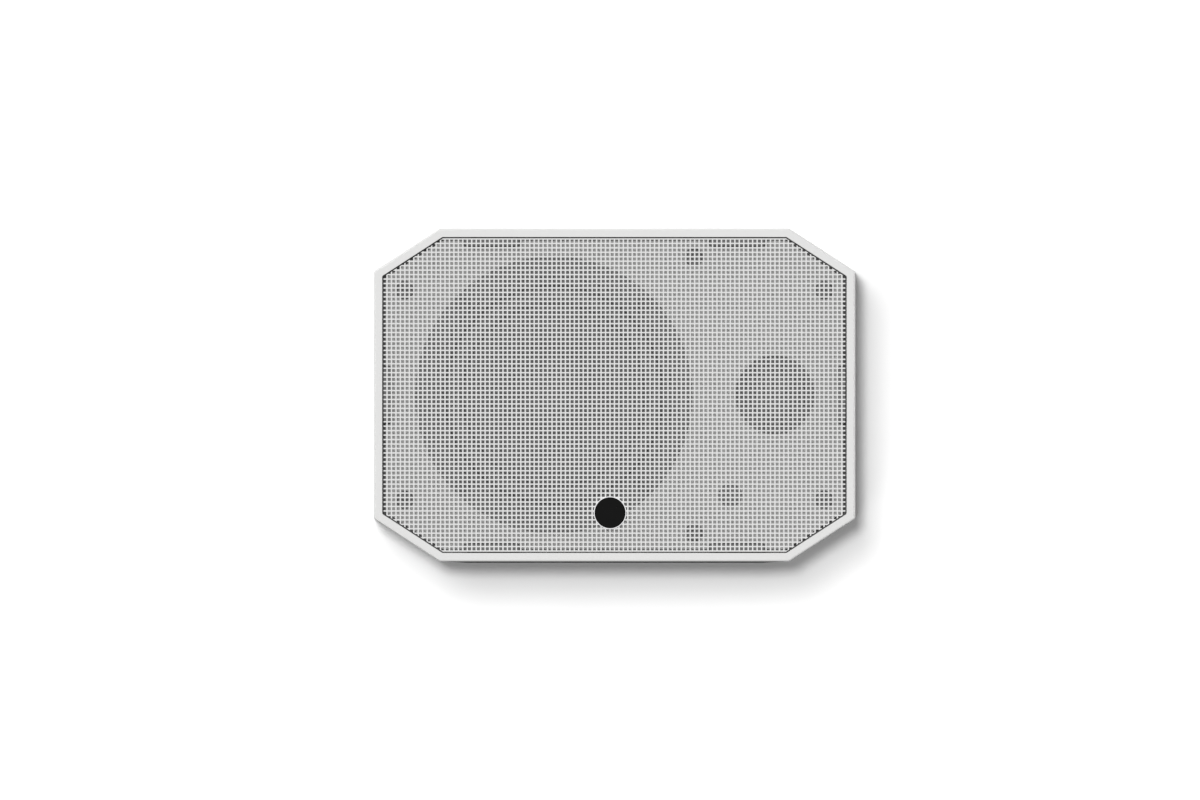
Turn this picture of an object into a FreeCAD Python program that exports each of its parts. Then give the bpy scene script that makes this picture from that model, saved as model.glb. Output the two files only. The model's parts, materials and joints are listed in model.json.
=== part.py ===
import FreeCAD
import Part
import math
import os
from FreeCAD import Vector

# Two-way satellite loudspeaker with an eight-sided moulded cabinet.
# Millimetres. X runs to the right seen from the front, the front faces -Y, Z is up.
# The cabinet stands on a thin rubber foot and is centred over the origin.

# Cabinet moulding
cabinet_width = 240.0
cabinet_height = 166.0
cabinet_depth = 150.0
corner_run = 33.0
corner_rise = 21.4
edge_radius = 2.0
front_round = 1.0
rear_round = 2.5
wall = 4.25
rear_wall = 6.0
ledge_width = 8.0
ledge_thickness = 6.0
boss_radius = 5.0
boss_length = 24.0

# Rubber foot under the cabinet, with sloping ends
foot_height = 0.6
foot_slope = 12.0
foot_from_corner = 2.0
foot_from_front = 1.2
foot_from_rear = 6.0

# Grille, badge and baffle, from the front plane backwards
grille_recess = 1.4
grille_thickness = 1.0
grille_gap = 0.7
grille_stand_off = 10.6
baffle_gap = 1.75
baffle_thickness = 9.0
seal_thickness = 1.5
seal_gap = 0.2
seal_width = 4.5

# The sheet has square holes; one modelled opening stands for a patch of them
hole_pitch = 2.222
hole_side = 1.555
holes_per_patch = 4
sheet_margin = 0.8

badge_radius = 8.15
badge_face_radius = 7.5
badge_side_step = 2.2
badge_from_bottom = 24.3
badge_stud_radius = 1.2

# Grille blocks: six soft bars between baffle and grille
block_length = 29.0
block_width = 4.8
block_from_side = 58.8

# Baffle screws: four near the corners, two between the drivers
screw_from_side = 15.5
screw_from_top = 30.8
middle_screw_from_right = 80.4
middle_screw_from_top = 14.3
baffle_screw_shank = 2.4
baffle_screw_head = 4.6
baffle_screw_grip = 17.0
plug_from_right = 62.3
plug_from_bottom = 33.1
plug_radius = 5.9

# Woofer
woofer_from_left = 89.8
flange_radius = 68.7
flange_thickness = 4.0
lip_rebate = 2.2
lip_width = 4.0
roll_radius = 4.9
soft_thickness = 0.8
cone_rim_radius = 45.6
cone_rim_width = 3.3
cone_depth = 18.8
cone_thickness = 0.8
dust_cap_radius = 19.0
dust_cap_height = 6.0
basket_sheet = 1.8
spider_shelf_depth = 24.0
basket_floor_depth = 40.0
former_radius = 12.5
former_wall = 0.3
winding_height = 0.5
winding_length = 9.0
pole_gap = 0.5
gap_clearance = 0.6
plate_radius = 39.0
plate_thickness = 5.0
magnet_radius = 43.0
magnet_bore = 20.0
magnet_thickness = 14.0
woofer_screw_circle = 63.8
woofer_screw_head = 3.5
woofer_screw_head_height = 2.0
woofer_screw_shank = 1.7
woofer_screw_grip = 4.6
window_count = 6
window_angle = 40.0
window_sill = 3.0
tag_reach = 12.4
tag_tab_length = 6.0
tag_offset = 4.5
tag_tab_width = 4.8
tag_tab_thickness = 0.8
tag_strip_height = 18.0
tag_strip_thickness = 1.6
tag_strip_clear = 2.0

# Tweeter
tweeter_from_right = 40.0
tweeter_opening = 19.5
lip_thickness = 3.0
nose_radius = 21.2
tweeter_flange_radius = 26.6
tweeter_flange_thickness = 3.0
dome_radius = 12.6
dome_height = 5.0
dome_sheet = 0.35
dome_roll = 1.3
tweeter_screw_circle = 23.8
neo_radius = 11.0
neo_thickness = 5.0
cup_wall = 3.8

# Crossover board on the rear wall, with its coils, capacitors and resistor
board_width = 60.0
board_height = 84.0
board_thickness = 1.6
board_stand_off = 8.0
board_from_right = 46.0
board_margin = 2.0
board_screw_inset = 4.0
board_post_radius = 3.5
inductor_radius = 16.0
inductor_bore = 7.0
inductor_height = 16.0
small_inductor_radius = 11.5
small_inductor_bore = 5.0
small_inductor_height = 12.0
capacitor_radius = 8.0
capacitor_length = 32.0
small_capacitor_radius = 6.5
small_capacitor_length = 26.0
resistor_length = 46.0
resistor_side = 9.5
part_spacing = 5.5
lead_radius = 1.1
lead_drop = 38.0
tweeter_lead_drop = 18.0

# Wadding behind the woofer
pad_width = 58.0
pad_height = 96.0
pad_depth = 22.0
pad_from_left = 16.0

# Terminal cup in the rear wall
cup_below_middle = 32.0
cup_flange_width = 62.0
cup_flange_height = 46.0
cup_flange_thickness = 3.0
cup_seal_thickness = 0.8
recess_width = 46.0
recess_height = 30.0
recess_depth = 20.0
cup_sheet = 3.0
lever_spacing = 22.0
lever_width = 13.0
lever_length = 14.0
lever_barrel = 2.6
lever_pin_radius = 1.0
hinge_rise = 4.0
spring_sheet = 0.4
spring_start = 3.5
spring_fold = 11.5
spring_fold_depth = 0.7
spring_tip = 5.6
spring_tip_width = 0.6
spring_reach = 1.15
hinge_below_cup = 8.0
ear_gap = 0.3
ear_width = 2.0
wire_hole = 3.2
wire_hole_above = 10.0
contact_length = 9.0
cup_screw_length = 9.0

# Mounting inserts in the rear wall
insert_spacing = 60.0
insert_above_middle = 6.0
insert_bore = 2.5
insert_radius = 4.5
insert_length = 12.0
insert_boss_wall = 3.5

# Levels and centres that follow from the sizes
half_width = cabinet_width / 2
mid_z = foot_height + cabinet_height / 2
front_y = -cabinet_depth / 2
rear_y = cabinet_depth / 2
grille_front_y = front_y + grille_recess
grille_back_y = grille_front_y + grille_thickness
baffle_y = grille_back_y + grille_stand_off
baffle_back_y = baffle_y + baffle_thickness
ledge_y = baffle_back_y + seal_thickness
cavity_y = ledge_y + ledge_thickness
rear_inner_y = rear_y - rear_wall
woofer_x = -half_width + woofer_from_left
tweeter_x = half_width - tweeter_from_right
plug_x = half_width - plug_from_right
plug_z = foot_height + plug_from_bottom
badge_x = -badge_side_step
badge_z = foot_height + badge_from_bottom
board_x = half_width - board_from_right
board_back_y = rear_inner_y - board_stand_off
board_y = board_back_y - board_thickness
cup_z = mid_z - cup_below_middle
floor_y = rear_y - recess_depth
floor_back_y = floor_y - cup_sheet
wire_z = cup_z + wire_hole_above
contact_end_y = floor_back_y - contact_length
hinge_y = floor_y + hinge_rise
hinge_z = cup_z - hinge_below_cup


# Shape helpers


def rounded_loop(points, radius):
    """Closed wire in the plane y = 0 through (x, z) corners, each rounded."""
    corners = [Vector(x, 0, z) for x, z in points]
    count = len(corners)
    bends = []
    for i, corner in enumerate(corners):
        back = (corners[i - 1] - corner).normalize()
        ahead = (corners[(i + 1) % count] - corner).normalize()
        half = back.getAngle(ahead) / 2
        reach = radius / math.tan(half)
        inward = (back + ahead).normalize()
        middle = corner + inward * (radius / math.sin(half) - radius)
        bends.append((corner + back * reach, middle, corner + ahead * reach))
    edges = []
    for i, (start, middle, end) in enumerate(bends):
        edges.append(Part.Arc(start, middle, end).toShape())
        edges.append(Part.makeLine(end, bends[(i + 1) % count][0]))
    return Part.Wire(edges)


def octagon_points(inset):
    """Corners of the cabinet's outline moved inwards by the inset."""
    slope = math.atan2(corner_rise, corner_run)
    wide = half_width - inset
    tall = cabinet_height / 2 - inset
    run = corner_run - inset * (1 - math.tan(slope / 2))
    rise = corner_rise - inset * (1 - math.tan(math.pi / 4 - slope / 2))
    quarter = [(wide - run, tall), (wide, tall - rise)]
    right = quarter + [(x, -z) for x, z in reversed(quarter)]
    left = [(-x, -z) for x, z in right]
    return [(x, z + mid_z) for x, z in right + left]


def octagon(inset, radius):
    return rounded_loop(octagon_points(inset), radius)


def rectangle(x, z, width, height, radius):
    a = width / 2
    b = height / 2
    return rounded_loop([(x - a, z - b), (x + a, z - b), (x + a, z + b), (x - a, z + b)], radius)


def prism(loop, y_start, y_end):
    solid = Part.Face(loop).extrude(Vector(0, y_end - y_start, 0))
    solid.translate(Vector(0, y_start, 0))
    return solid


def rod(x, z, radius, y_start, y_end):
    return Part.makeCylinder(radius, y_end - y_start, Vector(x, y_start, z), Vector(0, 1, 0))


def block(x0, x1, y0, y1, z0, z1):
    return Part.makeBox(x1 - x0, y1 - y0, z1 - z0, Vector(x0, y0, z0))


def turned(profile, x, z, y, angle=360.0):
    """Revolve (radius, depth) entries about an axis along Y through (x, z), depth counted from y.

    A pair of pairs is an arc, given by its middle and its end."""
    edges = []
    last = Vector(profile[0][0], profile[0][1], 0)
    for entry in profile[1:] + profile[:1]:
        if isinstance(entry[0], tuple):
            middle = Vector(entry[0][0], entry[0][1], 0)
            end = Vector(entry[1][0], entry[1][1], 0)
            edges.append(Part.Arc(last, middle, end).toShape())
        else:
            end = Vector(entry[0], entry[1], 0)
            edges.append(Part.makeLine(last, end))
        last = end
    solid = Part.Face(Part.Wire(edges)).revolve(Vector(0, 0, 0), Vector(0, 1, 0), angle)
    solid.translate(Vector(x, y, z))
    return solid


def around(shape, x, z, count, first=0.0):
    """Copies of a shape spread round an axis along Y through (x, z)."""
    copies = []
    for i in range(count):
        copy = shape.copy()
        copy.rotate(Vector(x, 0, z), Vector(0, 1, 0), first + i * 360.0 / count)
        copies.append(copy)
    return copies


def screw(x, z, y, head, height, shank, length):
    """Round-headed screw with a hexagon socket; the head sits in front of y."""
    body = turned(
        [(0, -height), (head * 0.55, -height), (head * 0.88, -height * 0.7), (head, -height * 0.3),
         (head, 0), (shank, 0), (shank, length - shank), (shank * 0.3, length), (0, length)],
        x, z, y)
    socket = []
    for i in range(6):
        turn = math.radians(60 * i)
        socket.append((x + head * 0.4 * math.cos(turn), z + head * 0.4 * math.sin(turn)))
    return body.cut(prism(rounded_loop(socket, head * 0.02), y - height - 1, y - height * 0.35))


def flat_screw(x, z, y, head, shank, length):
    """Countersunk screw driven towards -Y, its head level with y."""
    return turned([(0, 0), (head, 0), (shank, shank - head), (shank, -length), (0, -length)], x, z, y)


def lead(points, radius):
    """Round lead through points: straight runs joined by tangent arcs."""
    places = [Vector(*p) for p in points]
    edges = []
    last = places[0]
    for before, corner, after in zip(places, places[1:], places[2:]):
        back = (before - corner).normalize()
        ahead = (after - corner).normalize()
        reach = 0.45 * min((before - corner).Length, (after - corner).Length)
        half = back.getAngle(ahead) / 2
        bend = reach * math.tan(half)
        middle = corner + (back + ahead).normalize() * (bend / math.sin(half) - bend)
        start = corner + back * reach
        end = corner + ahead * reach
        edges.append(Part.makeLine(last, start))
        edges.append(Part.Arc(start, middle, end).toShape())
        last = end
    edges.append(Part.makeLine(last, places[-1]))
    section = Part.Wire(Part.makeCircle(radius, places[0], places[1] - places[0]))
    return Part.Wire(edges).makePipeShell([section], True, False)


# Cabinet


def baffle_screw_places():
    side = half_width - screw_from_side
    up = cabinet_height / 2 - screw_from_top
    middle_x = half_width - middle_screw_from_right
    middle_up = cabinet_height / 2 - middle_screw_from_top
    places = []
    for sign in (1, -1):
        places.append((side, mid_z + sign * up))
        places.append((-side, mid_z + sign * up))
        places.append((middle_x, mid_z + sign * middle_up))
    return places


def insert_places():
    low = mid_z + insert_above_middle
    return [(0, low), (0, low + insert_spacing)]


def board_screw_places():
    across = board_width / 2 - board_screw_inset
    along = board_height / 2 - board_screw_inset
    return [(board_x + side * across, mid_z + up * along) for side in (-1, 1) for up in (-1, 1)]


def cup_screw_places():
    across = cup_flange_width / 2 - 3.5
    along = cup_flange_height / 2 - 3.5
    return [(side * across, cup_z + up * along) for side in (-1, 1) for up in (-1, 1)]


def edges_at(solid, y):
    return [e for e in solid.Edges if all(abs(v.Y - y) < 1e-6 for v in e.Vertexes)]


def make_shell():
    shell = prism(octagon(0, edge_radius), front_y, rear_y)
    shell = shell.makeFillet(front_round, edges_at(shell, front_y))
    shell = shell.makeFillet(rear_round, edges_at(shell, rear_y))
    shell = shell.cut(prism(octagon(wall, 1.0), front_y - 1, ledge_y))
    shell = shell.cut(prism(octagon(wall + ledge_width, 1.0), ledge_y - 1, cavity_y + 1))
    shell = shell.cut(prism(octagon(wall, 1.0), cavity_y, rear_inner_y))
    bosses = []
    holes = []
    for x, z in baffle_screw_places():
        bosses.append(rod(x, z, boss_radius, baffle_back_y, ledge_y + boss_length))
        end = baffle_back_y + baffle_screw_grip + 3
        holes.append(rod(x, z, baffle_screw_shank + 0.1, baffle_back_y - 1, end))
    for x, z in insert_places():
        radius = insert_radius + insert_boss_wall
        bosses.append(rod(x, z, radius, rear_inner_y - insert_length, rear_inner_y))
        holes.append(rod(x, z, insert_radius + 0.05, rear_y - insert_length, rear_y + 1))
    for x, z in board_screw_places():
        bosses.append(rod(x, z, board_post_radius, board_back_y, rear_inner_y))
        holes.append(rod(x, z, 1.35, board_back_y - 1, rear_inner_y - 0.5))
    shell = shell.fuse(bosses)
    rebate = rear_y - cup_flange_thickness - cup_seal_thickness
    rebate_loop = rectangle(0, cup_z, cup_flange_width + 0.6, cup_flange_height + 0.6, 4.3)
    holes.append(prism(rebate_loop, rebate, rear_y + 1))
    body_width = recess_width + 2 * cup_sheet + 0.6
    body_height = recess_height + 2 * cup_sheet + 0.6
    holes.append(prism(rectangle(0, cup_z, body_width, body_height, 4.3), rear_inner_y - 1, rear_y))
    for x, z in cup_screw_places():
        holes.append(rod(x, z, 1.35, rear_inner_y - 1, rear_y))
    return shell.cut(holes).removeSplitter()


def make_foot():
    half = half_width - corner_run - foot_from_corner
    corners = [(-half, foot_height), (half, foot_height), (half - foot_slope, 0), (foot_slope - half, 0)]
    loop = Part.makePolygon([Vector(x, 0, z) for x, z in corners + corners[:1]])
    return prism(loop, front_y + foot_from_front, rear_y - foot_from_rear)


def make_baffle():
    baffle = prism(octagon(wall + baffle_gap, 1.0), baffle_y, baffle_back_y)
    cuts = [rod(woofer_x, mid_z, flange_radius + 0.4, baffle_y - 1, baffle_y + flange_thickness)]
    cuts.append(rod(woofer_x, mid_z, basket_body_radius + 1.0, baffle_y, baffle_back_y + 1))
    pilot = rod(woofer_x + woofer_screw_circle, mid_z, woofer_screw_shank + 0.1, baffle_y, baffle_back_y + 1)
    cuts += around(pilot, woofer_x, mid_z, 4, 45.0)
    soft = 1.5
    bend = soft * (1 - math.sqrt(0.5))
    cuts.append(turned(
        [(0, -1), (tweeter_opening + soft, -1), (tweeter_opening + soft, 0),
         ((tweeter_opening + bend, bend), (tweeter_opening, soft)),
         (tweeter_opening, baffle_thickness), (0, baffle_thickness)],
        tweeter_x, mid_z, baffle_y))
    cuts.append(rod(tweeter_x, mid_z, nose_radius + 0.3, baffle_y + lip_thickness, baffle_back_y + 1))
    pilot = rod(tweeter_x + tweeter_screw_circle, mid_z, 1.1, baffle_back_y - 5, baffle_back_y + 1)
    cuts += around(pilot, tweeter_x, mid_z, 3, 90.0)
    for x, z in baffle_screw_places():
        cuts.append(rod(x, z, baffle_screw_shank + 0.4, baffle_y - 1, baffle_back_y + 1))
    cuts.append(rod(plug_x, plug_z, plug_radius - 0.4, baffle_y - 1, baffle_back_y + 1))
    return baffle.cut(cuts)


def make_seal():
    outer = prism(octagon(wall + seal_gap, 1.0), baffle_back_y, ledge_y)
    return outer.cut(prism(octagon(wall + seal_gap + seal_width, 1.0), baffle_back_y - 1, ledge_y + 1))


def make_plug():
    stem = plug_radius - 0.5
    return turned(
        [(0, -1.6), ((plug_radius * 0.7, -1.2), (plug_radius, -0.5)), (plug_radius, 0), (stem, 0),
         (stem, baffle_thickness), (stem - 1.2, baffle_thickness), (stem - 1.2, 0.6), (0, 0.6)],
        plug_x, plug_z, baffle_y)


# Grille and badge


def inside_sheet(x, z, inset):
    """True where a point lies within the cabinet outline moved inwards by the inset."""
    corners = octagon_points(inset)
    for (x0, z0), (x1, z1) in zip(corners, corners[1:] + corners[:1]):
        if (x1 - x0) * (z - z0) - (z1 - z0) * (x - x0) > 0:
            return False
    return True


def make_grille():
    pitch = hole_pitch * holes_per_patch
    side = hole_side * holes_per_patch
    bar = pitch - side
    inset = wall + grille_gap
    columns = int((cabinet_width - 2 * (inset + sheet_margin) + bar) / pitch)
    rows = int((cabinet_height - 2 * (inset + sheet_margin) + bar) / pitch)
    clear = badge_stud_radius + sheet_margin
    loops = [octagon(inset, 1.0)]
    for i in range(columns):
        for k in range(rows):
            x0 = (i - columns / 2) * pitch + bar / 2
            z0 = mid_z + (k - rows / 2) * pitch + bar / 2
            corners = [(x0, z0), (x0 + side, z0), (x0 + side, z0 + side), (x0, z0 + side)]
            near_x = min(max(badge_x, x0), x0 + side)
            near_z = min(max(badge_z, z0), z0 + side)
            if math.hypot(near_x - badge_x, near_z - badge_z) < clear:
                continue
            if all(inside_sheet(x, z, inset + sheet_margin) for x, z in corners):
                loops.append(Part.makePolygon([Vector(x, 0, z) for x, z in corners + corners[:1]]))
    sheet = Part.makeFace(loops, "Part::FaceMakerBullseye").extrude(Vector(0, grille_thickness, 0))
    sheet.translate(Vector(0, grille_front_y, 0))
    return sheet.cut(rod(badge_x, badge_z, badge_stud_radius + 0.1, grille_front_y - 1, grille_back_y + 1))


def make_grille_blocks():
    x = half_width - block_from_side
    edge = wall + 0.2 + block_width / 2
    up = cabinet_height / 2 - edge
    bars = []
    for side in (-1, 1):
        for turn in (-1, 1):
            bars.append(rectangle(side * x, mid_z + turn * up, block_length, block_width, 1.0))
        bars.append(rectangle(side * (half_width - edge), mid_z, block_width, block_length, 1.0))
    return Part.makeCompound([prism(bar, grille_back_y, baffle_y) for bar in bars])


def make_badge_dish():
    end = grille_recess + grille_thickness + 1.6
    seat = 0.5
    return turned(
        [(0, seat), (badge_face_radius, seat), (badge_face_radius, 0.15), (badge_face_radius + 0.15, 0),
         (badge_radius - 0.25, 0), (badge_radius, 0.25), (badge_radius, grille_recess),
         (badge_stud_radius, grille_recess), (badge_stud_radius, end - 0.4),
         (badge_stud_radius - 0.4, end), (0, end)],
        badge_x, badge_z, front_y)


def make_badge_face():
    radius = badge_face_radius - 0.05
    return turned([(0, 0.1), (radius, 0.1), (radius, 0.5), (0, 0.5)], badge_x, badge_z, front_y)


def make_push_nut():
    inner = badge_stud_radius + 0.03
    return turned([(inner, 0), (4.0, 0), (4.0, 0.5), (inner, 0.5)], badge_x, badge_z, grille_back_y)


# Woofer: depths count from the front face of the flange

roll_centre = cone_rim_radius + roll_radius - soft_thickness
lip_radius = roll_centre + roll_radius + lip_width
basket_body_radius = lip_radius + 0.4
former_outer = former_radius + former_wall
winding_outer = former_outer + winding_height
plate_front = basket_floor_depth
magnet_front = plate_front + plate_thickness
yoke_front = magnet_front + magnet_thickness
yoke_back = yoke_front + plate_thickness
shelf_back = spider_shelf_depth + basket_sheet
cone_flat_radius = cone_rim_radius - cone_rim_width
cone_neck_radius = former_outer + 0.1
spider_radius = cone_rim_radius


def cone_face_depth(radius):
    """Depth of the cone's front face at a radius."""
    return lip_rebate + (cone_flat_radius - radius) / (cone_flat_radius - cone_neck_radius) * cone_depth


def woofer_part(profile):
    return turned(profile, woofer_x, mid_z, baffle_y)


def make_basket():
    body = basket_body_radius
    shelf = spider_radius + 2.7
    basket = woofer_part(
        [(flange_radius, 0), (flange_radius, flange_thickness), (body, flange_thickness),
         (shelf + basket_sheet, shelf_back), (plate_radius - 2.2, shelf_back),
         (plate_radius - 5, basket_floor_depth), (magnet_bore - 1, basket_floor_depth),
         (magnet_bore - 1, basket_floor_depth - 2), (plate_radius - 7, basket_floor_depth - 2),
         (plate_radius - 4, spider_shelf_depth), (shelf, spider_shelf_depth),
         (body - basket_sheet, flange_thickness), (lip_radius - lip_width - 1.4, flange_thickness),
         (lip_radius - lip_width - 1.4, lip_rebate), (lip_radius + 0.6, lip_rebate), (lip_radius + 0.6, 0)])
    low = flange_thickness + window_sill
    high = spider_shelf_depth - window_sill
    window = turned(
        [(spider_radius, low), (flange_radius, low), (flange_radius, high), (spider_radius, high)],
        woofer_x, mid_z, baffle_y, window_angle)
    cuts = around(window, woofer_x, mid_z, window_count, -window_angle / 2)
    hole = rod(
        woofer_x + woofer_screw_circle, mid_z, woofer_screw_shank + 0.5,
        baffle_y - 1, baffle_y + flange_thickness + 1)
    cuts += around(hole, woofer_x, mid_z, 4, 45.0)
    return basket.cut(cuts)


def make_surround():
    top = lip_rebate - soft_thickness
    chord = math.sqrt(roll_radius ** 2 - soft_thickness ** 2)
    inner = roll_radius - soft_thickness
    return woofer_part(
        [(cone_flat_radius, lip_rebate), (roll_centre - inner, lip_rebate),
         ((roll_centre, lip_rebate - inner), (roll_centre + inner, lip_rebate)), (lip_radius, lip_rebate),
         (lip_radius, top), (roll_centre + chord, top),
         ((roll_centre, lip_rebate - roll_radius), (roll_centre - chord, top)), (cone_flat_radius, top)])


def make_gasket_ring():
    inner = lip_radius - lip_width + 0.3
    top = -0.6
    foot = lip_rebate - soft_thickness
    return woofer_part(
        [(inner, top + 0.6), (inner + 0.6, top), (lip_radius - 0.2, top), (lip_radius + 0.3, top + 0.5),
         (lip_radius + 0.3, foot), (inner, foot)])


def make_cone():
    slant = cone_thickness * math.hypot(1, cone_depth / (cone_flat_radius - cone_neck_radius))
    neck = lip_rebate + cone_depth
    foot = lip_rebate + cone_thickness
    return woofer_part(
        [(cone_rim_radius, lip_rebate), (cone_flat_radius, lip_rebate), (cone_neck_radius, neck),
         (cone_neck_radius, neck + slant), (cone_flat_radius + 0.1, foot), (cone_rim_radius, foot)])


def dome_arc(radius, height, top):
    """Middle and end of a dome's arc from the axis at depth top out to its rim."""
    ball = (radius ** 2 + height ** 2) / (2 * height)
    half = radius / 2
    return ((half, top + ball - math.sqrt(ball ** 2 - half ** 2)), (radius, top + height))


def make_dust_cap():
    rim = cone_face_depth(dust_cap_radius) - 0.2
    top = rim - dust_cap_height
    sheet = 0.6
    outer = dome_arc(dust_cap_radius, dust_cap_height, top)
    inner = dome_arc(dust_cap_radius - sheet, dust_cap_height - 0.3, top + sheet)
    return woofer_part([(0, top), outer, inner[1], (inner[0], (0, top + sheet))])


def make_former():
    end = plate_front + plate_thickness / 2 + winding_length / 2 + 1
    start = lip_rebate + cone_depth - 1
    return woofer_part(
        [(former_radius, start), (former_outer, start), (former_outer, end), (former_radius, end)])


def make_winding():
    middle = plate_front + plate_thickness / 2
    start = middle - winding_length / 2
    end = middle + winding_length / 2
    inner = former_outer + 0.02
    return woofer_part([(inner, start), (winding_outer, start), (winding_outer, end), (inner, end)])


def make_spider():
    sheet = 0.5
    fold = 1.2
    ripples = 4
    foot = spider_shelf_depth
    inner = former_outer + 0.05
    collar = inner + 2.2
    step = (plate_radius - 4.5 - collar) / (4 * ripples)
    waves = [(collar + i * step, foot + fold * math.sin(i * math.pi / 2)) for i in range(4 * ripples + 1)]
    back = [(inner, foot)] + waves + [(spider_radius, foot)]
    return woofer_part(back + [(radius, depth - sheet) for radius, depth in reversed(back)])


def make_front_plate():
    bore = winding_outer + gap_clearance
    return woofer_part(
        [(bore, plate_front), (plate_radius, plate_front),
         (plate_radius, magnet_front), (bore, magnet_front)])


def make_magnet():
    return woofer_part(
        [(magnet_bore, magnet_front), (magnet_radius, magnet_front),
         (magnet_radius, yoke_front), (magnet_bore, yoke_front)])


def make_yoke():
    pole = former_radius - pole_gap
    vent = 3.5
    return woofer_part(
        [(vent, plate_front - 0.4), (pole - 0.6, plate_front - 0.4), (pole, plate_front + 0.2),
         (pole, yoke_front), (plate_radius, yoke_front), (plate_radius + 1, yoke_front + 1),
         (plate_radius + 1, yoke_back - 1), (plate_radius, yoke_back), (vent, yoke_back)])


def make_woofer_screws():
    one = screw(
        woofer_x + woofer_screw_circle, mid_z, baffle_y, woofer_screw_head, woofer_screw_head_height,
        woofer_screw_shank, flange_thickness + woofer_screw_grip)
    return Part.makeCompound(around(one, woofer_x, mid_z, 4, 45.0))


tag_y = baffle_y + shelf_back
tag_end = woofer_x + spider_radius + tag_reach


def make_tag_strip():
    low = mid_z - tag_strip_height / 2
    start = woofer_x + plate_radius + tag_strip_clear
    return block(start, tag_end, tag_y, tag_y + tag_strip_thickness, low, low + tag_strip_height)


def make_tag_tabs():
    start = tag_end - 2 * tag_tab_length
    end = tag_end + tag_tab_length
    tabs = []
    for side in (-1, 1):
        z = mid_z + side * tag_offset
        low = z - tag_tab_width / 2
        seat = tag_y + tag_strip_thickness
        tabs.append(block(start, end, seat, seat + tag_tab_thickness, low, low + tag_tab_width))
    return Part.makeCompound(tabs)


def make_tinsel_leads():
    start = dust_cap_radius + 11
    start_y = baffle_y + cone_face_depth(start) + 1.8
    clear_y = baffle_y + spider_shelf_depth - 6
    end_x = tag_end - 3.5
    leads = []
    for side in (-1, 1):
        z = mid_z + side * tag_offset
        leads.append(lead(
            [(woofer_x + start, start_y, z), (woofer_x + start + 7, clear_y, z),
             (end_x, clear_y, z), (end_x, tag_y - 0.05, z)], 0.5))
    return Part.makeCompound(leads)


# Tweeter: depths count from the front face of the baffle

dome_foot = lip_thickness + 4.4
dome_seat = dome_foot + dome_sheet
roll_inner = dome_radius + 0.1
roll_outer = roll_inner + 2 * dome_roll
coil_inner = dome_radius - 0.4
coil_outer = dome_radius + 0.1
bore_radius = coil_outer + 0.5
cup_flange_radius = nose_radius - 1.6
cup_flange_back = dome_seat + 2.5
pole_back = dome_seat + 2.5
neo_back = pole_back + neo_thickness
cup_back = neo_back + 4.0
tweeter_back = baffle_thickness + tweeter_flange_thickness


def tweeter_part(profile):
    return turned(profile, tweeter_x, mid_z, baffle_y)


def make_faceplate():
    throat = roll_outer + 0.5
    plate = tweeter_part(
        [(tweeter_opening - 0.2, lip_thickness), (nose_radius, lip_thickness),
         (nose_radius, baffle_thickness),
         (tweeter_flange_radius, baffle_thickness), (tweeter_flange_radius, tweeter_back),
         (cup_flange_radius + 0.1, tweeter_back), (cup_flange_radius + 0.1, dome_foot), (throat, dome_foot),
         (throat, dome_foot - 1.2)])
    hole = rod(tweeter_x + tweeter_screw_circle, mid_z, 1.4, baffle_back_y - 1, baffle_y + tweeter_back + 1)
    return plate.cut(around(hole, tweeter_x, mid_z, 3, 90.0))


def make_dome():
    top = dome_foot - dome_height
    outer = dome_arc(dome_radius, dome_height, top)
    inner = dome_arc(dome_radius - dome_sheet, dome_height, top + dome_sheet)
    middle = roll_inner + dome_roll
    rim = cup_flange_radius - 0.4
    small = dome_roll - dome_sheet
    return tweeter_part(
        [(0, top), outer, (roll_inner, dome_foot),
         ((middle, dome_foot - dome_roll), (roll_outer, dome_foot)),
         (rim, dome_foot), (rim, dome_seat), (middle + small, dome_seat),
         ((middle, dome_seat - small), (middle - small, dome_seat)), inner[1],
         (inner[0], (0, top + dome_sheet))])


def make_tweeter_coil():
    start = dome_seat + 0.05
    end = start + 4
    return tweeter_part([(coil_inner, start), (coil_outer, start), (coil_outer, end), (coil_inner, end)])


def make_pole_plate():
    pole = coil_inner - 0.5
    return tweeter_part([(0, dome_seat + 0.6), (pole, dome_seat + 0.6), (pole, pole_back), (0, pole_back)])


def make_neo_magnet():
    return tweeter_part([(0, pole_back), (neo_radius, pole_back), (neo_radius, neo_back), (0, neo_back)])


def make_cup():
    body = bore_radius + cup_wall
    return tweeter_part(
        [(0, neo_back), (bore_radius, neo_back), (bore_radius, dome_seat), (cup_flange_radius, dome_seat),
         (cup_flange_radius, cup_flange_back), (body, cup_flange_back), (body, cup_back - 0.8),
         (body - 0.8, cup_back), (0, cup_back)])


def make_tweeter_screws():
    tip = -tweeter_flange_thickness - 4.5
    one = turned(
        [(0, 1.4), (1.6, 1.2), (2.2, 0.5), (2.2, 0), (1.05, 0), (1.05, tip), (0, tip)],
        tweeter_x + tweeter_screw_circle, mid_z, baffle_y + tweeter_back)
    return Part.makeCompound(around(one, tweeter_x, mid_z, 3, 90.0))


tweeter_tab_z = mid_z - (cup_flange_radius + tweeter_flange_radius) / 2
tweeter_tab_end = baffle_y + tweeter_back + 9


def make_tweeter_tabs():
    start = baffle_y + tweeter_back
    z = tweeter_tab_z
    tabs = []
    for side in (-1, 1):
        x = tweeter_x + side * tag_offset
        tabs.append(block(x - 2, x + 2, start, tweeter_tab_end, z - 0.4, z + 0.4))
    return Part.makeCompound(tabs)


# Crossover board and leads

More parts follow.
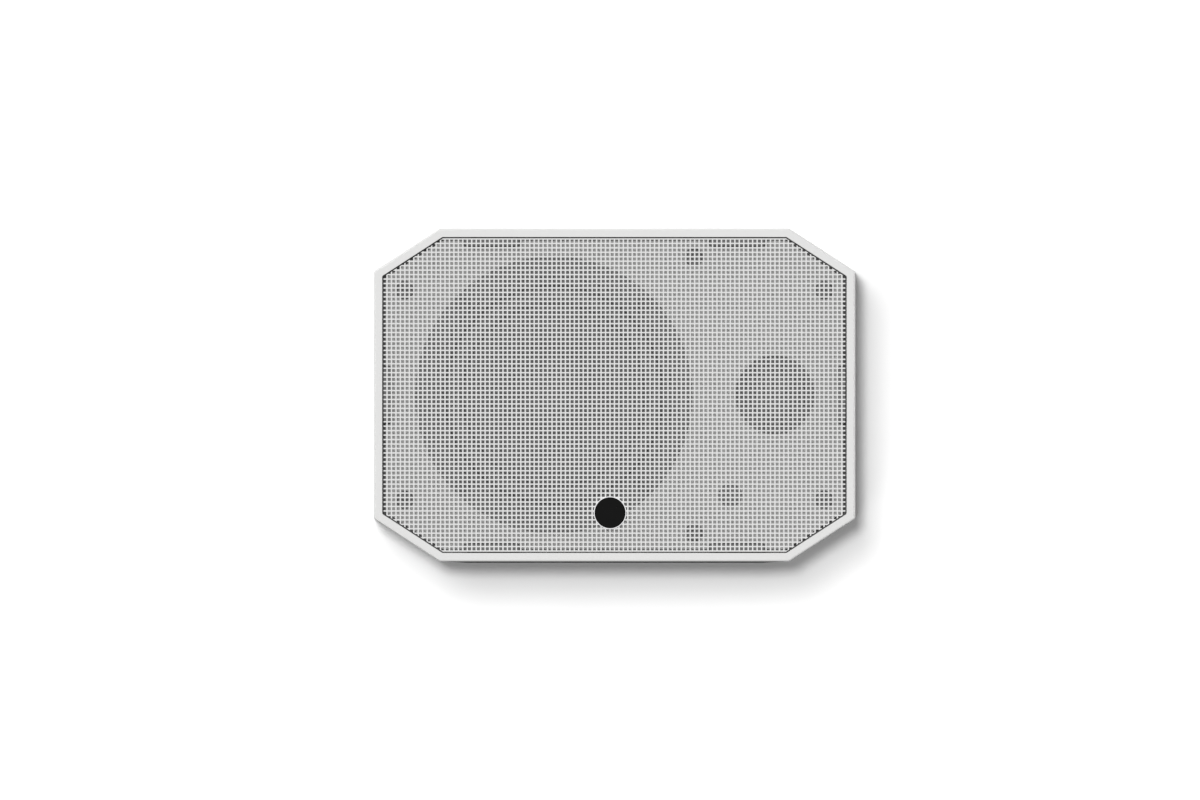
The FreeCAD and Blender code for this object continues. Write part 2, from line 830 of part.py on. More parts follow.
board_left = board_x - board_width / 2
board_right = board_x + board_width / 2
board_top = mid_z + board_height / 2
board_bottom = mid_z - board_height / 2
inductor_z = board_top - board_screw_inset - inductor_radius
small_inductor_z = board_top - board_screw_inset - 2.5 - small_inductor_radius
small_capacitor_top = small_inductor_z - small_inductor_radius - part_spacing
small_capacitor_bottom = small_capacitor_top - small_capacitor_length
resistor_z = small_capacitor_bottom - part_spacing - resistor_side
pad_z = small_capacitor_bottom - part_spacing / 2


def make_board():
    board = block(board_left, board_right, board_y, board_back_y, board_bottom, board_top)
    return board.cut([rod(x, z, 1.7, board_y - 1, board_back_y + 1) for x, z in board_screw_places()])


def make_coil(x, z, radius, bore, height):
    return turned([(bore, -height), (radius, -height), (radius, 0), (bore, 0)], x, z, board_y)


def make_inductor():
    x = board_left + board_margin + inductor_radius
    return make_coil(x, inductor_z, inductor_radius, inductor_bore, inductor_height)


def make_small_inductor():
    x = board_right - board_margin - small_inductor_radius
    return make_coil(x, small_inductor_z, small_inductor_radius, small_inductor_bore, small_inductor_height)


def make_capacitor():
    z = inductor_z - inductor_radius - part_spacing - capacitor_radius
    start = Vector(board_left + board_margin, board_y - capacitor_radius, z)
    return Part.makeCylinder(capacitor_radius, capacitor_length, start, Vector(1, 0, 0))


def make_small_capacitor():
    x = board_right - part_spacing - small_capacitor_radius
    start = Vector(x, board_y - small_capacitor_radius, small_capacitor_top)
    return Part.makeCylinder(small_capacitor_radius, small_capacitor_length, start, Vector(0, 0, -1))


def make_resistor():
    half = resistor_length / 2
    top = resistor_z + resistor_side
    return block(board_x - half, board_x + half, board_y - resistor_side, board_y, resistor_z, top)


def make_board_screws():
    screws = [screw(x, z, board_y, 2.8, 1.9, 1.3, board_thickness + 6.5) for x, z in board_screw_places()]
    return Part.makeCompound(screws)


def make_input_leads():
    end = board_y - 0.05
    leads = []
    for side, step in ((1, 0.0), (-1, 3.0)):
        x = side * lever_spacing / 2
        y = contact_end_y - 9 - step
        pad = board_left + 4.5 + step
        leads.append(lead(
            [(x, contact_end_y - 0.05, wire_z), (x, y, wire_z), (pad, y, pad_z), (pad, end, pad_z)],
            lead_radius))
    return Part.makeCompound(leads)


def make_woofer_leads():
    end = board_y - 0.05
    tab_x = tag_end + tag_tab_length + 0.1
    y = tag_y + 2.0
    leads = []
    for side in (-1, 1):
        x = board_x + 6 + 2 * side
        z = mid_z + side * tag_offset
        leads.append(lead(
            [(x, end, pad_z), (x, board_y - lead_drop, pad_z),
             (tab_x + 20 + 2 * side, y, z), (tab_x, y, z)],
            lead_radius))
    return Part.makeCompound(leads)


def make_tweeter_leads():
    end = board_y - 0.05
    x = board_right - 3
    leads = []
    for side in (-1, 1):
        z = pad_z - 3 + 3 * side
        tab = tweeter_x + side * tag_offset
        y = tweeter_tab_end + tweeter_lead_drop
        leads.append(lead(
            [(x, end, z), (x, board_y - lead_drop, z), (tab, y, tweeter_tab_z),
             (tab, tweeter_tab_end + 0.05, tweeter_tab_z)],
            lead_radius))
    return Part.makeCompound(leads)


def make_damping_pad():
    x = -half_width + pad_from_left + pad_width / 2
    loop = rectangle(x, mid_z, pad_width, pad_height, 6.0)
    return prism(loop, rear_inner_y - pad_depth, rear_inner_y)


# Terminal cup with two sprung levers


def side_loop(points, x, width, y, z):
    """Plate of a given width along X, its outline given as (y, z) steps from a point."""
    corners = [Vector(x - width / 2, y + a, z + b) for a, b in points]
    return Part.Face(Part.makePolygon(corners + corners[:1])).extrude(Vector(width, 0, 0))


def pin_rod(x, radius, length):
    return Part.makeCylinder(radius, length, Vector(x - length / 2, hinge_y, hinge_z), Vector(1, 0, 0))


def lever_centres():
    return [-lever_spacing / 2, lever_spacing / 2]


def make_terminal_cup():
    body_width = recess_width + 2 * cup_sheet
    body_height = recess_height + 2 * cup_sheet
    flange_loop = rectangle(0, cup_z, cup_flange_width, cup_flange_height, 4.0)
    cup = prism(flange_loop, rear_y - cup_flange_thickness, rear_y)
    cup = cup.fuse(prism(rectangle(0, cup_z, body_width, body_height, 4.0), floor_back_y, rear_y - 1))
    cup = cup.cut(prism(rectangle(0, cup_z, recess_width, recess_height, 1.5), floor_y, rear_y + 1))
    foot = -hinge_rise - 1
    ear = [(foot, -3.2), (1.5, -3.2), (3.2, -1.5), (3.2, 1.5), (1.5, 3.2), (foot, 3.2)]
    ears = []
    cuts = []
    for x in lever_centres():
        for side in (-1, 1):
            ear_x = x + side * (lever_width / 2 + ear_gap + ear_width / 2)
            ears.append(side_loop(ear, ear_x, ear_width, hinge_y, hinge_z))
        cuts.append(pin_rod(x, lever_pin_radius + 0.02, lever_width + 2 * ear_gap + 2 * ear_width + 1))
        cuts.append(block(x - wire_hole / 2, x + wire_hole / 2, floor_back_y - 1, floor_y + 1,
                          wire_z - wire_hole / 2, wire_z + wire_hole / 2))
    countersink = [(0, 0.5), (2.9, 0.5), (2.9, 0), (1.55, -1.35), (1.55, -5), (0, -5)]
    cuts += [turned(countersink, x, z, rear_y) for x, z in cup_screw_places()]
    return cup.fuse(ears).cut(cuts).removeSplitter()


def make_cup_seal():
    y0 = rear_y - cup_flange_thickness - cup_seal_thickness
    y1 = rear_y - cup_flange_thickness
    seal = prism(rectangle(0, cup_z, cup_flange_width, cup_flange_height, 4.0), y0, y1)
    inner_width = recess_width + 2 * cup_sheet + 0.6
    inner_height = recess_height + 2 * cup_sheet + 0.6
    cuts = [prism(rectangle(0, cup_z, inner_width, inner_height, 4.3), y0 - 1, y1 + 1)]
    cuts += [rod(x, z, 1.6, y0 - 1, y1 + 1) for x, z in cup_screw_places()]
    return seal.cut(cuts)


def make_cup_screws():
    screws = [flat_screw(x, z, rear_y, 2.6, 1.25, cup_screw_length) for x, z in cup_screw_places()]
    return Part.makeCompound(screws)


def make_lever(x):
    outline = [(1.2, 0), (1.2, lever_length), (6.0, lever_length), (6.5, lever_length - 2), (2.4, 1.0)]
    arm = side_loop(outline, x, lever_width, hinge_y, hinge_z)
    lever = arm.fuse(pin_rod(x, lever_barrel, lever_width))
    return lever.cut(pin_rod(x, lever_pin_radius + 0.05, lever_width + 2)).removeSplitter()


def make_lever_pins():
    length = lever_width + 2 * ear_gap + 2 * ear_width
    return Part.makeCompound([pin_rod(x, lever_pin_radius, length) for x in lever_centres()])


def make_lever_spring(x):
    foot = -hinge_rise
    outline = [(foot, spring_start), (foot, spring_fold), (foot + spring_sheet, spring_fold),
               (spring_reach, spring_tip), (spring_reach, spring_tip - spring_tip_width),
               (foot + spring_sheet, spring_fold - spring_fold_depth), (foot + spring_sheet, spring_start)]
    return side_loop(outline, x, lever_width * 0.45, hinge_y, hinge_z)


def make_contacts():
    contacts = []
    for x in lever_centres():
        plate = block(x - 4, x + 4, floor_back_y - 0.8, floor_back_y, wire_z - 6, wire_z + 4)
        tab = block(x - 2, x + 2, contact_end_y, floor_back_y - 0.4, wire_z - 0.4, wire_z + 0.4)
        contacts.append(plate.fuse(tab).removeSplitter())
    return Part.makeCompound(contacts)


def make_inserts():
    inserts = []
    for x, z in insert_places():
        inserts.append(rod(x, z, insert_radius, rear_y - insert_length, rear_y).cut(
            rod(x, z, insert_bore, rear_y - insert_length - 1, rear_y + 1)))
    return Part.makeCompound(inserts)


def make_baffle_screws():
    head_height = 3.0
    length = baffle_thickness + baffle_screw_grip
    screws = []
    for x, z in baffle_screw_places():
        screws.append(screw(x, z, baffle_y, baffle_screw_head, head_height, baffle_screw_shank, length))
    return Part.makeCompound(screws)


nodes = {
    "cabinet_shell": make_shell(),
    "foot_pad": make_foot(),
    "front_baffle": make_baffle(),
    "baffle_seal": make_seal(),
    "baffle_screws": make_baffle_screws(),
    "blanking_plug": make_plug(),
    "grille": make_grille(),
    "grille_blocks": make_grille_blocks(),
    "badge_dish": make_badge_dish(),
    "badge_face": make_badge_face(),
    "badge_push_nut": make_push_nut(),
    "woofer_basket": make_basket(),
    "woofer_surround": make_surround(),
    "woofer_gasket_ring": make_gasket_ring(),
    "woofer_cone": make_cone(),
    "woofer_dust_cap": make_dust_cap(),
    "woofer_coil_former": make_former(),
    "woofer_coil_winding": make_winding(),
    "woofer_spider": make_spider(),
    "woofer_front_plate": make_front_plate(),
    "woofer_magnet": make_magnet(),
    "woofer_yoke": make_yoke(),
    "woofer_screws": make_woofer_screws(),
    "woofer_tag_strip": make_tag_strip(),
    "woofer_tag_tabs": make_tag_tabs(),
    "tinsel_leads": make_tinsel_leads(),
    "tweeter_faceplate": make_faceplate(),
    "tweeter_dome": make_dome(),
    "tweeter_voice_coil": make_tweeter_coil(),
    "tweeter_pole_plate": make_pole_plate(),
    "tweeter_magnet": make_neo_magnet(),
    "tweeter_cup": make_cup(),
    "tweeter_screws": make_tweeter_screws(),
    "tweeter_tabs": make_tweeter_tabs(),
    "crossover_board": make_board(),
    "board_screws": make_board_screws(),
    "woofer_inductor": make_inductor(),
    "tweeter_inductor": make_small_inductor(),
    "woofer_capacitor": make_capacitor(),
    "tweeter_capacitor": make_small_capacitor(),
    "tweeter_resistor": make_resistor(),
    "input_leads": make_input_leads(),
    "woofer_leads": make_woofer_leads(),
    "tweeter_leads": make_tweeter_leads(),
    "damping_pad": make_damping_pad(),
    "terminal_cup": make_terminal_cup(),
    "cup_seal": make_cup_seal(),
    "cup_screws": make_cup_screws(),
    "black_lever": make_lever(-lever_spacing / 2),
    "red_lever": make_lever(lever_spacing / 2),
    "lever_pins": make_lever_pins(),
    "black_lever_spring": make_lever_spring(-lever_spacing / 2),
    "red_lever_spring": make_lever_spring(lever_spacing / 2),
    "terminal_contacts": make_contacts(),
    "mounting_inserts": make_inserts(),
}

os.makedirs("parts", exist_ok=True)
for name, shape in nodes.items():
    shape.exportStep(os.path.join("parts", name + ".step"))
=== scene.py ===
# %% [markdown]
# # A small two-way loudspeaker in Blender
# The part is a satellite loudspeaker: an eight-sided white cabinet, a sheet of square holes across its
# front, and two dark drivers that show through the holes.
# The engineering model comes in as a fixed frame, so every piece made here uses its places and sizes.
# Starting from that frame means nothing has to be fitted by eye afterwards.

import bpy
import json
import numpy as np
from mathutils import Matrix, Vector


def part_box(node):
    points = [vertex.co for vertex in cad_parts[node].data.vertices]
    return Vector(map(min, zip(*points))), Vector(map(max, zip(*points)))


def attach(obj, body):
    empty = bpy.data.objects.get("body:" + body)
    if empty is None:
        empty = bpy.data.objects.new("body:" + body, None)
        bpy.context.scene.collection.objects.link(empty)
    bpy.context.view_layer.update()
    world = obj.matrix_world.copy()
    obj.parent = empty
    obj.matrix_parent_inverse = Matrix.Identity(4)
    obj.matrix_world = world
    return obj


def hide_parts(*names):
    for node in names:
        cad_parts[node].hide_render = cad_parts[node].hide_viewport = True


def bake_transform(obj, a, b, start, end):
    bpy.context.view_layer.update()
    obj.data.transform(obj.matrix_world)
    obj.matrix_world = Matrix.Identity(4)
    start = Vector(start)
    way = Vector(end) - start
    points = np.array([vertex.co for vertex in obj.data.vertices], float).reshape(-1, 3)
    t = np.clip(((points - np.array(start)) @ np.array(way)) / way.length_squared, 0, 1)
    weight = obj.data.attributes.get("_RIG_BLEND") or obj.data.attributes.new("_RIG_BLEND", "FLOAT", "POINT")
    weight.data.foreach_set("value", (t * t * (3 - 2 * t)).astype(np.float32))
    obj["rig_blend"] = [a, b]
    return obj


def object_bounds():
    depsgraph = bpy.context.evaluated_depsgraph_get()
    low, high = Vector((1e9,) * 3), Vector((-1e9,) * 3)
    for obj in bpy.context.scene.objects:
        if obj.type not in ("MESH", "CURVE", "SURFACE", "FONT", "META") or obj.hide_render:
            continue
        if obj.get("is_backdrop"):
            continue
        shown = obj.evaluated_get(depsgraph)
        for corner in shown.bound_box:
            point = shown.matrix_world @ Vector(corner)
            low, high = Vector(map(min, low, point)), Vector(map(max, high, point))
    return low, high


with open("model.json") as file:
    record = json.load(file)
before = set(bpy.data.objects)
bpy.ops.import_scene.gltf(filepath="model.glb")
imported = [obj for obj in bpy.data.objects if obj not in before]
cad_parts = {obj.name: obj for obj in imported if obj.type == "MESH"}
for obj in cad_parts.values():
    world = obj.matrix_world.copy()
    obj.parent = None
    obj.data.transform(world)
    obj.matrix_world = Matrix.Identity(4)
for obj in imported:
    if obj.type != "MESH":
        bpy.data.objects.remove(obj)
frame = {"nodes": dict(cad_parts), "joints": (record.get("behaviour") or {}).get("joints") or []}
nodes = frame["nodes"]
cad_low, cad_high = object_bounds()
print("nodes:", len(nodes), "box:", [round(v, 4) for v in (*cad_low, *cad_high)])

# %% [markdown]
# ## Camera
# The picture looks straight at the front, and no side wall shows, so the lens was long and far away.
# A perspective camera with a very long lens would do, but an orthographic one has no convergence at all
# and needs one number, the width of the view, so it is easier to match.

# %% Camera
import json
import math

import bmesh
import bpy
from mathutils import Vector, noise

mm = 0.001
scene = bpy.context.scene
scene.view_settings.view_transform = "Standard"


def show(name, data):
    """Object in the scene for a camera, a lamp or a mesh."""
    thing = bpy.data.objects.new(name, data)
    scene.collection.objects.link(thing)
    return thing


view_width = 598 * mm
view_middle = Vector((-7.2 * mm, 0, 81.1 * mm))
camera_distance = 2.0
camera = show("front_camera", bpy.data.cameras.new("front_camera"))
camera.data.type = "ORTHO"
camera.data.ortho_scale = view_width
camera.location = view_middle - Vector((0, camera_distance, 0))
camera.rotation_euler = (math.radians(90), 0, 0)
scene.camera = camera
print("view width", view_width, "m")

# %% [markdown]
# ## Light
# The soft edge of the shadow, to the right of the cabinet and below it, tells where the light stands:
# almost behind the camera, a little to the left and above.
# Two suns from nearly the same side, one narrow and one broad, give that shadow a firm core and a wide soft
# rim; one area lamp close by would also throw shadow to the left.
# A weak third one, from below on the left, stands for the light that the floor throws up at the cabinet.
# The cabinet has a broad sun of its own, because a narrow one would throw a sharp picture of every hole
# in the sheet on the parts behind it. It isn't mirrored, or the badge would show it as a white patch.
# The last sun grazes the front from the upper left and brightens the rounded edges on those two sides.
# Which lamp lights what is settled once the wall is there.
# Soft boxes beside, above and behind the cabinet light its other sides. They stand behind the plane of the
# wall and pass no light on by bounces, so they leave the shadow alone.

# %% Lamps
cabinet_middle = Vector((0, 0, 83 * mm))


def add_sun(name, left, up, spread, strength):
    """Sun whose light comes from in front, at these slopes to the left and upwards."""
    lamp = show(name, bpy.data.lights.new(name, "SUN"))
    lamp.data.angle = spread
    lamp.data.energy = strength
    lamp.rotation_euler = Vector((left, 1, -up)).to_track_quat("-Z", "Y").to_euler()
    return lamp


def add_panel(name, place, side, watts):
    """Square soft box that faces the middle of the cabinet."""
    lamp = show(name, bpy.data.lights.new(name, "AREA"))
    lamp.data.size = side
    lamp.data.energy = watts
    lamp.data.cycles.max_bounces = 0
    lamp.location = place
    towards = cabinet_middle - lamp.location
    lamp.rotation_euler = towards.to_track_quat("-Z", "Y").to_euler()


shadow_core = add_sun("shadow_core", left=0.025, up=0.034, spread=0.050, strength=1.20)
shadow_rim = add_sun("shadow_rim", left=0.072, up=0.108, spread=0.134, strength=1.00)
shadow_fill = add_sun("shadow_fill", left=0.300, up=-0.300, spread=0.300, strength=0.23)
key = add_sun("key", left=0.045, up=0.070, spread=0.210, strength=2.52)
edge = add_sun("edge", left=2.000, up=2.000, spread=0.500, strength=1.35)
key.visible_glossy = False
edge.visible_glossy = False
add_panel("left_panel", (-1.5, 0.9, 0.5), side=1.0, watts=14.0)
add_panel("right_panel", (1.5, 0.9, 0.5), side=1.0, watts=22.0)
add_panel("top_panel", (0.0, 0.8, 1.8), side=1.0, watts=9.0)
add_panel("rear_panel", (0.0, 2.0, 0.6), side=1.2, watts=12.0)

# %% [markdown]
# ## Nodes by name
# The sky, the finishes and the repeated shapes are all made of nodes. Placing and linking each node takes
# several lines, so two helpers do it in one: `calc` for a Math node and `node_of` for any other. Both take
# plain values or the outputs of other nodes.

# %% Node helpers
def feed(tree, socket, value):
    """Link another node's output to a socket, or write a plain value on it."""
    if isinstance(value, bpy.types.NodeSocket):
        tree.links.new(value, socket)
    else:
        socket.default_value = value


def calc(tree, operation, *values):
    """Output of a Math node."""
    node = tree.nodes.new("ShaderNodeMath")
    node.operation = operation
    for socket, value in zip(node.inputs, values):
        feed(tree, socket, value)
    return node.outputs[0]


def node_of(tree, kind, **settings):
    """Node with its settings and input values; capitals name an input, small letters a setting."""
    node = tree.nodes.new(kind)
    for label, value in settings.items():
        if label[0].islower():
            setattr(node, label, value)
        else:
            feed(tree, node.inputs[label.replace("_", " ")], value)
    return node


print("node helpers ready")

# %% [markdown]
# ## World
# A grey sky fills the shadows. What the camera, a mirror or glass sees of it is plain white, which the
# Light Path node sorts out, so the white background lights the object by its reflection alone.

# %% World
sky = 0.17
world = bpy.data.worlds.new("studio")
world.use_nodes = True
scene.world = world
tree = world.node_tree
path = tree.nodes.new("ShaderNodeLightPath").outputs
mirrored = calc(tree, "ADD", path["Is Glossy Ray"], path["Is Transmission Ray"])
seen = calc(tree, "ADD", path["Is Camera Ray"], mirrored)
seen.node.use_clamp = True
level = node_of(tree, "ShaderNodeMapRange", Value=seen, To_Min=sky, To_Max=1.0)
background = tree.nodes["Background"]
background.inputs["Color"].default_value = (1, 1, 1, 1)
tree.links.new(level.outputs["Result"], background.inputs["Strength"])
print("sky level", sky)

# %% [markdown]
# ## Floor and wall
# The cabinet stands on a pale floor with a wall just behind it, and the wall takes the soft shadow.
# Both are plain planes. They show only their front, through the Backfacing output, so that the rear of the
# cabinet can be looked at too, and they throw no shadow and no bounced light.

# %% Paper
def pale_paper(name, reflect, lift):
    """Paper that shows its front only, lifted to white where the camera sees it in full light."""
    fibre_scale, fibre_swing = 60, 0.01
    material = bpy.data.materials.new(name)
    material.use_nodes = True
    tree = material.node_tree
    tree.nodes.clear()
    place = tree.nodes.new("ShaderNodeTexCoord").outputs["Object"]
    fibre = node_of(tree, "ShaderNodeTexNoise", Vector=place, Scale=fibre_scale)
    tint = node_of(
        tree, "ShaderNodeMapRange", Value=fibre.outputs[0],
        To_Min=reflect - fibre_swing, To_Max=reflect + fibre_swing)
    path = tree.nodes.new("ShaderNodeLightPath").outputs
    shown = node_of(tree, "ShaderNodeMapRange", Value=path["Is Camera Ray"], To_Min=1.0, To_Max=lift)
    lifted = calc(tree, "MULTIPLY", tint.outputs["Result"], shown.outputs["Result"])
    diffuse = node_of(tree, "ShaderNodeBsdfDiffuse", Color=lifted)
    clear = tree.nodes.new("ShaderNodeBsdfTransparent")
    side = tree.nodes.new("ShaderNodeNewGeometry")
    pick = tree.nodes.new("ShaderNodeMixShader")
    choice = (side.outputs["Backfacing"], diffuse.outputs[0], clear.outputs[0])
    for socket, output in zip(pick.inputs, choice):
        tree.links.new(output, socket)
    node_of(tree, "ShaderNodeOutputMaterial", Surface=pick.outputs[0])
    return material


wall_paper = pale_paper("wall_paper", reflect=0.86, lift=1.40)
floor_paper = pale_paper("floor_paper", reflect=0.82, lift=1.60)
print("papers:", wall_paper.name, floor_paper.name)

# %% Floor and wall
def add_piece(name, points, faces=()):
    """Mesh object from points and faces, at the origin."""
    mesh = bpy.data.meshes.new(name)
    mesh.from_pydata(points, [], faces)
    return show(name, mesh)


plane_reach = 3.0
wall_gap, floor_gap = 0.2 * mm, 0.05 * mm
wall_y = cad_high.y + wall_gap
floor_z = cad_low.z - floor_gap
square = [(-plane_reach, -plane_reach), (plane_reach, -plane_reach)]
square += [(-x, -y) for x, y in square]
wall = add_piece("wall", [(x, wall_y, z) for x, z in square], [range(4)])
floor = add_piece("floor", [(x, y, floor_z) for x, y in square], [range(4)])
for plane, paper in ((wall, wall_paper), (floor, floor_paper)):
    plane.data.materials.append(paper)
    plane.visible_diffuse = False
    plane.visible_shadow = False
    plane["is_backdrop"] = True
wall.visible_glossy = False
wall.visible_transmission = False
print("wall at", round(wall_y, 4), "floor at", round(floor_z, 5))

# %% [markdown]
# ## Which sun lights what
# Light linking gives each sun its receivers: the three that draw the shadow light the wall and nothing else,
# the broad one lights all but the wall, and the grazing one lights the shell of the cabinet alone.
# Every piece of the loudspeaker still blocks the light of each.

# %% Light linking
def receivers(name, one, state):
    """Collection with one object in it, either as the only receiver or as the one left out."""
    group = bpy.data.collections.new(name)
    group.objects.link(one)
    group.collection_objects[0].light_linking.link_state = state
    return group


wall_only = receivers("wall_only", wall, "INCLUDE")
for lamp in (shadow_core, shadow_rim, shadow_fill):
    lamp.light_linking.receiver_collection = wall_only
key.light_linking.receiver_collection = receivers("all_but_wall", wall, "EXCLUDE")
edge.light_linking.receiver_collection = receivers("shell_only", nodes["cabinet_shell"], "INCLUDE")
print("receivers:", [lamp.light_linking.receiver_collection.name for lamp in (shadow_core, key, edge)])

# %% [markdown]
# ## Shared surface effects
# Every finish on the cabinet needs the same few things: a colour that isn't quite even, a fine grain,
# turned rings, wound wire or a weave.
# Each is a shader node group with named inputs, built once. A finish places the group with its own values,
# which keeps the materials short and lets one change reach them all.

# %% Group builder
def socket_kind(value):
    """Kind of socket that suits a default value; a word is itself a kind, one without a default."""
    if isinstance(value, str):
        return value
    if isinstance(value, tuple):
        return "Color" if len(value) == 4 else "Vector"
    return "Int" if isinstance(value, int) else "Float"


def new_tree(name, kind, result, result_kind, **inputs):
    """Empty node group with one result; returns the tree, its inputs and the socket for the result."""
    tree = bpy.data.node_groups.new(name, kind)
    for label, value in inputs.items():
        socket = tree.interface.new_socket(
            label.replace("_", " "), in_out="INPUT", socket_type="NodeSocket" + socket_kind(value))
        if not isinstance(value, str):
            socket.default_value = value
    tree.interface.new_socket(result, in_out="OUTPUT", socket_type="NodeSocket" + result_kind)
    start = tree.nodes.new("NodeGroupInput")
    end = tree.nodes.new("NodeGroupOutput")
    return tree, start.outputs, end.inputs[0]


def noise_at(tree, scale, detail):
    """Noise that is fixed to the object."""
    place = tree.nodes.new("ShaderNodeTexCoord").outputs["Object"]
    return node_of(tree, "ShaderNodeTexNoise", Vector=place, Scale=scale, Detail=detail).outputs[0]


def place_parts(tree):
    """Object coordinates, taken apart into X, Y and Z."""
    place = tree.nodes.new("ShaderNodeTexCoord").outputs["Object"]
    return node_of(tree, "ShaderNodeSeparateXYZ", Vector=place).outputs


print("group builder ready")

# %% Uneven colour
uneven, given, result = new_tree(
    "uneven_colour", "ShaderNodeTree", "Colour", "Color",
    Colour=(0.5, 0.5, 0.5, 1.0), Amount=0.05, Scale=40.0)
cloud = noise_at(uneven, given["Scale"], detail=3.0)
swing = calc(uneven, "MULTIPLY", calc(uneven, "SUBTRACT", cloud, 0.5), given["Amount"])
gain = calc(uneven, "MULTIPLY_ADD", swing, 2.0, 1.0)
tinted = node_of(uneven, "ShaderNodeVectorMath", operation="SCALE", Vector=given["Colour"], Scale=gain)
uneven.links.new(tinted.outputs[0], result)
print("group", uneven.name)

# %% Fine grain
broad_share = 0.12
grain, given, result = new_tree(
    "fine_grain", "ShaderNodeTree", "Height", "Float", Scale=1500.0, Softness=0.5)
fine = noise_at(grain, given["Scale"], detail=2.0)
broad = noise_at(grain, calc(grain, "MULTIPLY", given["Scale"], broad_share), detail=1.0)
mixed = calc(grain, "ADD", calc(grain, "MULTIPLY", broad, given["Softness"]), fine)
grain.links.new(mixed, result)
print("group", grain.name)

# %% Turned rings
rings, given, result = new_tree(
    "turned_rings", "ShaderNodeTree", "Height", "Float", Centre_X=0.0, Centre_Z=0.0, Rings_per_metre=2000.0)
place = place_parts(rings)
across = calc(rings, "POWER", calc(rings, "SUBTRACT", place["X"], given["Centre X"]), 2.0)
upward = calc(rings, "POWER", calc(rings, "SUBTRACT", place["Z"], given["Centre Z"]), 2.0)
radius = calc(rings, "SQRT", calc(rings, "ADD", across, upward))
turns = calc(rings, "MULTIPLY", calc(rings, "MULTIPLY", radius, given["Rings per metre"]), 2 * math.pi)
rings.links.new(calc(rings, "SINE", turns), result)
print("group", rings.name)

# %% Wound wire
wound, given, result = new_tree("wound_wire", "ShaderNodeTree", "Height", "Float", Turns_per_metre=1200.0)
place = place_parts(wound)
phase = calc(wound, "MULTIPLY", calc(wound, "MULTIPLY", place["Y"], given["Turns per metre"]), math.pi)
wound.links.new(calc(wound, "ABSOLUTE", calc(wound, "SINE", phase)), result)
print("group", wound.name)

# %% Woven cloth
weave, given, result = new_tree("woven_cloth", "ShaderNodeTree", "Height", "Float", Threads_per_metre=1500.0)
place = place_parts(weave)
per_metre = calc(weave, "MULTIPLY", given["Threads per metre"], math.pi)
warp = calc(weave, "SINE", calc(weave, "MULTIPLY", place["X"], per_metre))
weft = calc(weave, "SINE", calc(weave, "MULTIPLY", place["Z"], per_metre))
weave.links.new(calc(weave, "MULTIPLY", warp, weft), result)
print("group", weave.name)

# %% [markdown]
# ## Finishes
# A finish is a Principled shader whose colour passes through the uneven colour group, and whose normal
# passes through a Bump node fed by one of the height groups.
# Numbers that are the same all over, such as roughness, sit on the shader's own sockets.
# Each finish below is given as its colour, its roughness, the amount and scale of its unevenness, a height
# group with a depth, and the values of that group.

# %% Finish builder
def finish(name, colour, roughness, blotch, relief, depth, metallic=0.0, **relief_values):
    """Finish with an (amount, scale) of uneven colour and a height group pressed to a depth."""
    amount, scale = blotch
    material = bpy.data.materials.new(name)
    material.use_nodes = True
    tree = material.node_tree
    shader = tree.nodes["Principled BSDF"].inputs
    shader["Roughness"].default_value = roughness
    shader["Metallic"].default_value = metallic
    tone = node_of(
        tree, "ShaderNodeGroup", node_tree=uneven, Colour=(*colour, 1), Amount=amount, Scale=scale)
    tree.links.new(tone.outputs["Colour"], shader["Base Color"])
    height = node_of(tree, "ShaderNodeGroup", node_tree=relief, **relief_values)
    bump = node_of(tree, "ShaderNodeBump", Strength=1.0, Distance=depth, Height=height.outputs["Height"])
    tree.links.new(bump.outputs["Normal"], shader["Normal"])
    return material


def dress(material, *names):
    """Give CAD nodes a finish through their material slots."""
    for name in names:
        slots = nodes[name].data.materials
        slots.clear()
        slots.append(material)
    print(material.name, "on", ", ".join(names))


print("finish builder ready")

# %% [markdown]
# ### White finishes
# The cabinet is moulded in white plastic with a very fine spark-eroded grain, the baffle behind the
# sheet is the same plastic left matt, and the sheet itself is powder coated, with a faint orange peel.
# Grain this small hardly shows at arm's length, but it breaks up the highlights on the edges.

# %% White finishes
white_shell = finish(
    "white_shell", (0.70, 0.70, 0.695), 0.55, (0.012, 25), grain, 0.02 * mm, Scale=2200, Softness=0.6)
white_baffle = finish(
    "white_baffle", (0.55, 0.55, 0.545), 0.62, (0.02, 30), grain, 0.03 * mm, Scale=1600, Softness=0.4)
white_sheet = finish(
    "white_sheet", (0.79, 0.79, 0.785), 0.60, (0.012, 60), grain, 0.01 * mm, Scale=1100, Softness=0.8)
dress(white_shell, "cabinet_shell")
dress(white_baffle, "front_baffle")

# %% [markdown]
# ### Dark grey finishes
# What shows dark through the sheet is nearly all the same grey: painted steel on the basket, rubber on the
# plug and the rings, foam on the strips and textured plastic on the tweeter plate.
# The difference is in roughness and in the scale of the grain, so those are what each finish sets.

# %% Dark grey finishes
dark_grey, screw_grey, foam_grey = (0.26, 0.26, 0.26), (0.23, 0.23, 0.23), (0.17, 0.17, 0.17)
grey_basket = finish("grey_basket", dark_grey, 0.55, (0.08, 80), grain, 0.03 * mm, Scale=700, Softness=0.8)
grey_rubber = finish("grey_rubber", dark_grey, 0.70, (0.10, 120), grain, 0.03 * mm, Scale=1300, Softness=0.5)
grey_foam = finish("grey_foam", foam_grey, 0.95, (0.20, 500), grain, 0.20 * mm, Scale=900, Softness=0.2)
grey_plate = finish("grey_plate", dark_grey, 0.60, (0.08, 70), grain, 0.04 * mm, Scale=1800, Softness=0.4)
grey_screw = finish("grey_screw", screw_grey, 0.50, (0.12, 400), grain, 0.02 * mm, Scale=2600, Softness=0.5)
dress(grey_basket, "woofer_basket")
dress(grey_rubber, "blanking_plug", "woofer_gasket_ring")
dress(grey_foam, "baffle_seal")
dress(grey_plate, "tweeter_faceplate")

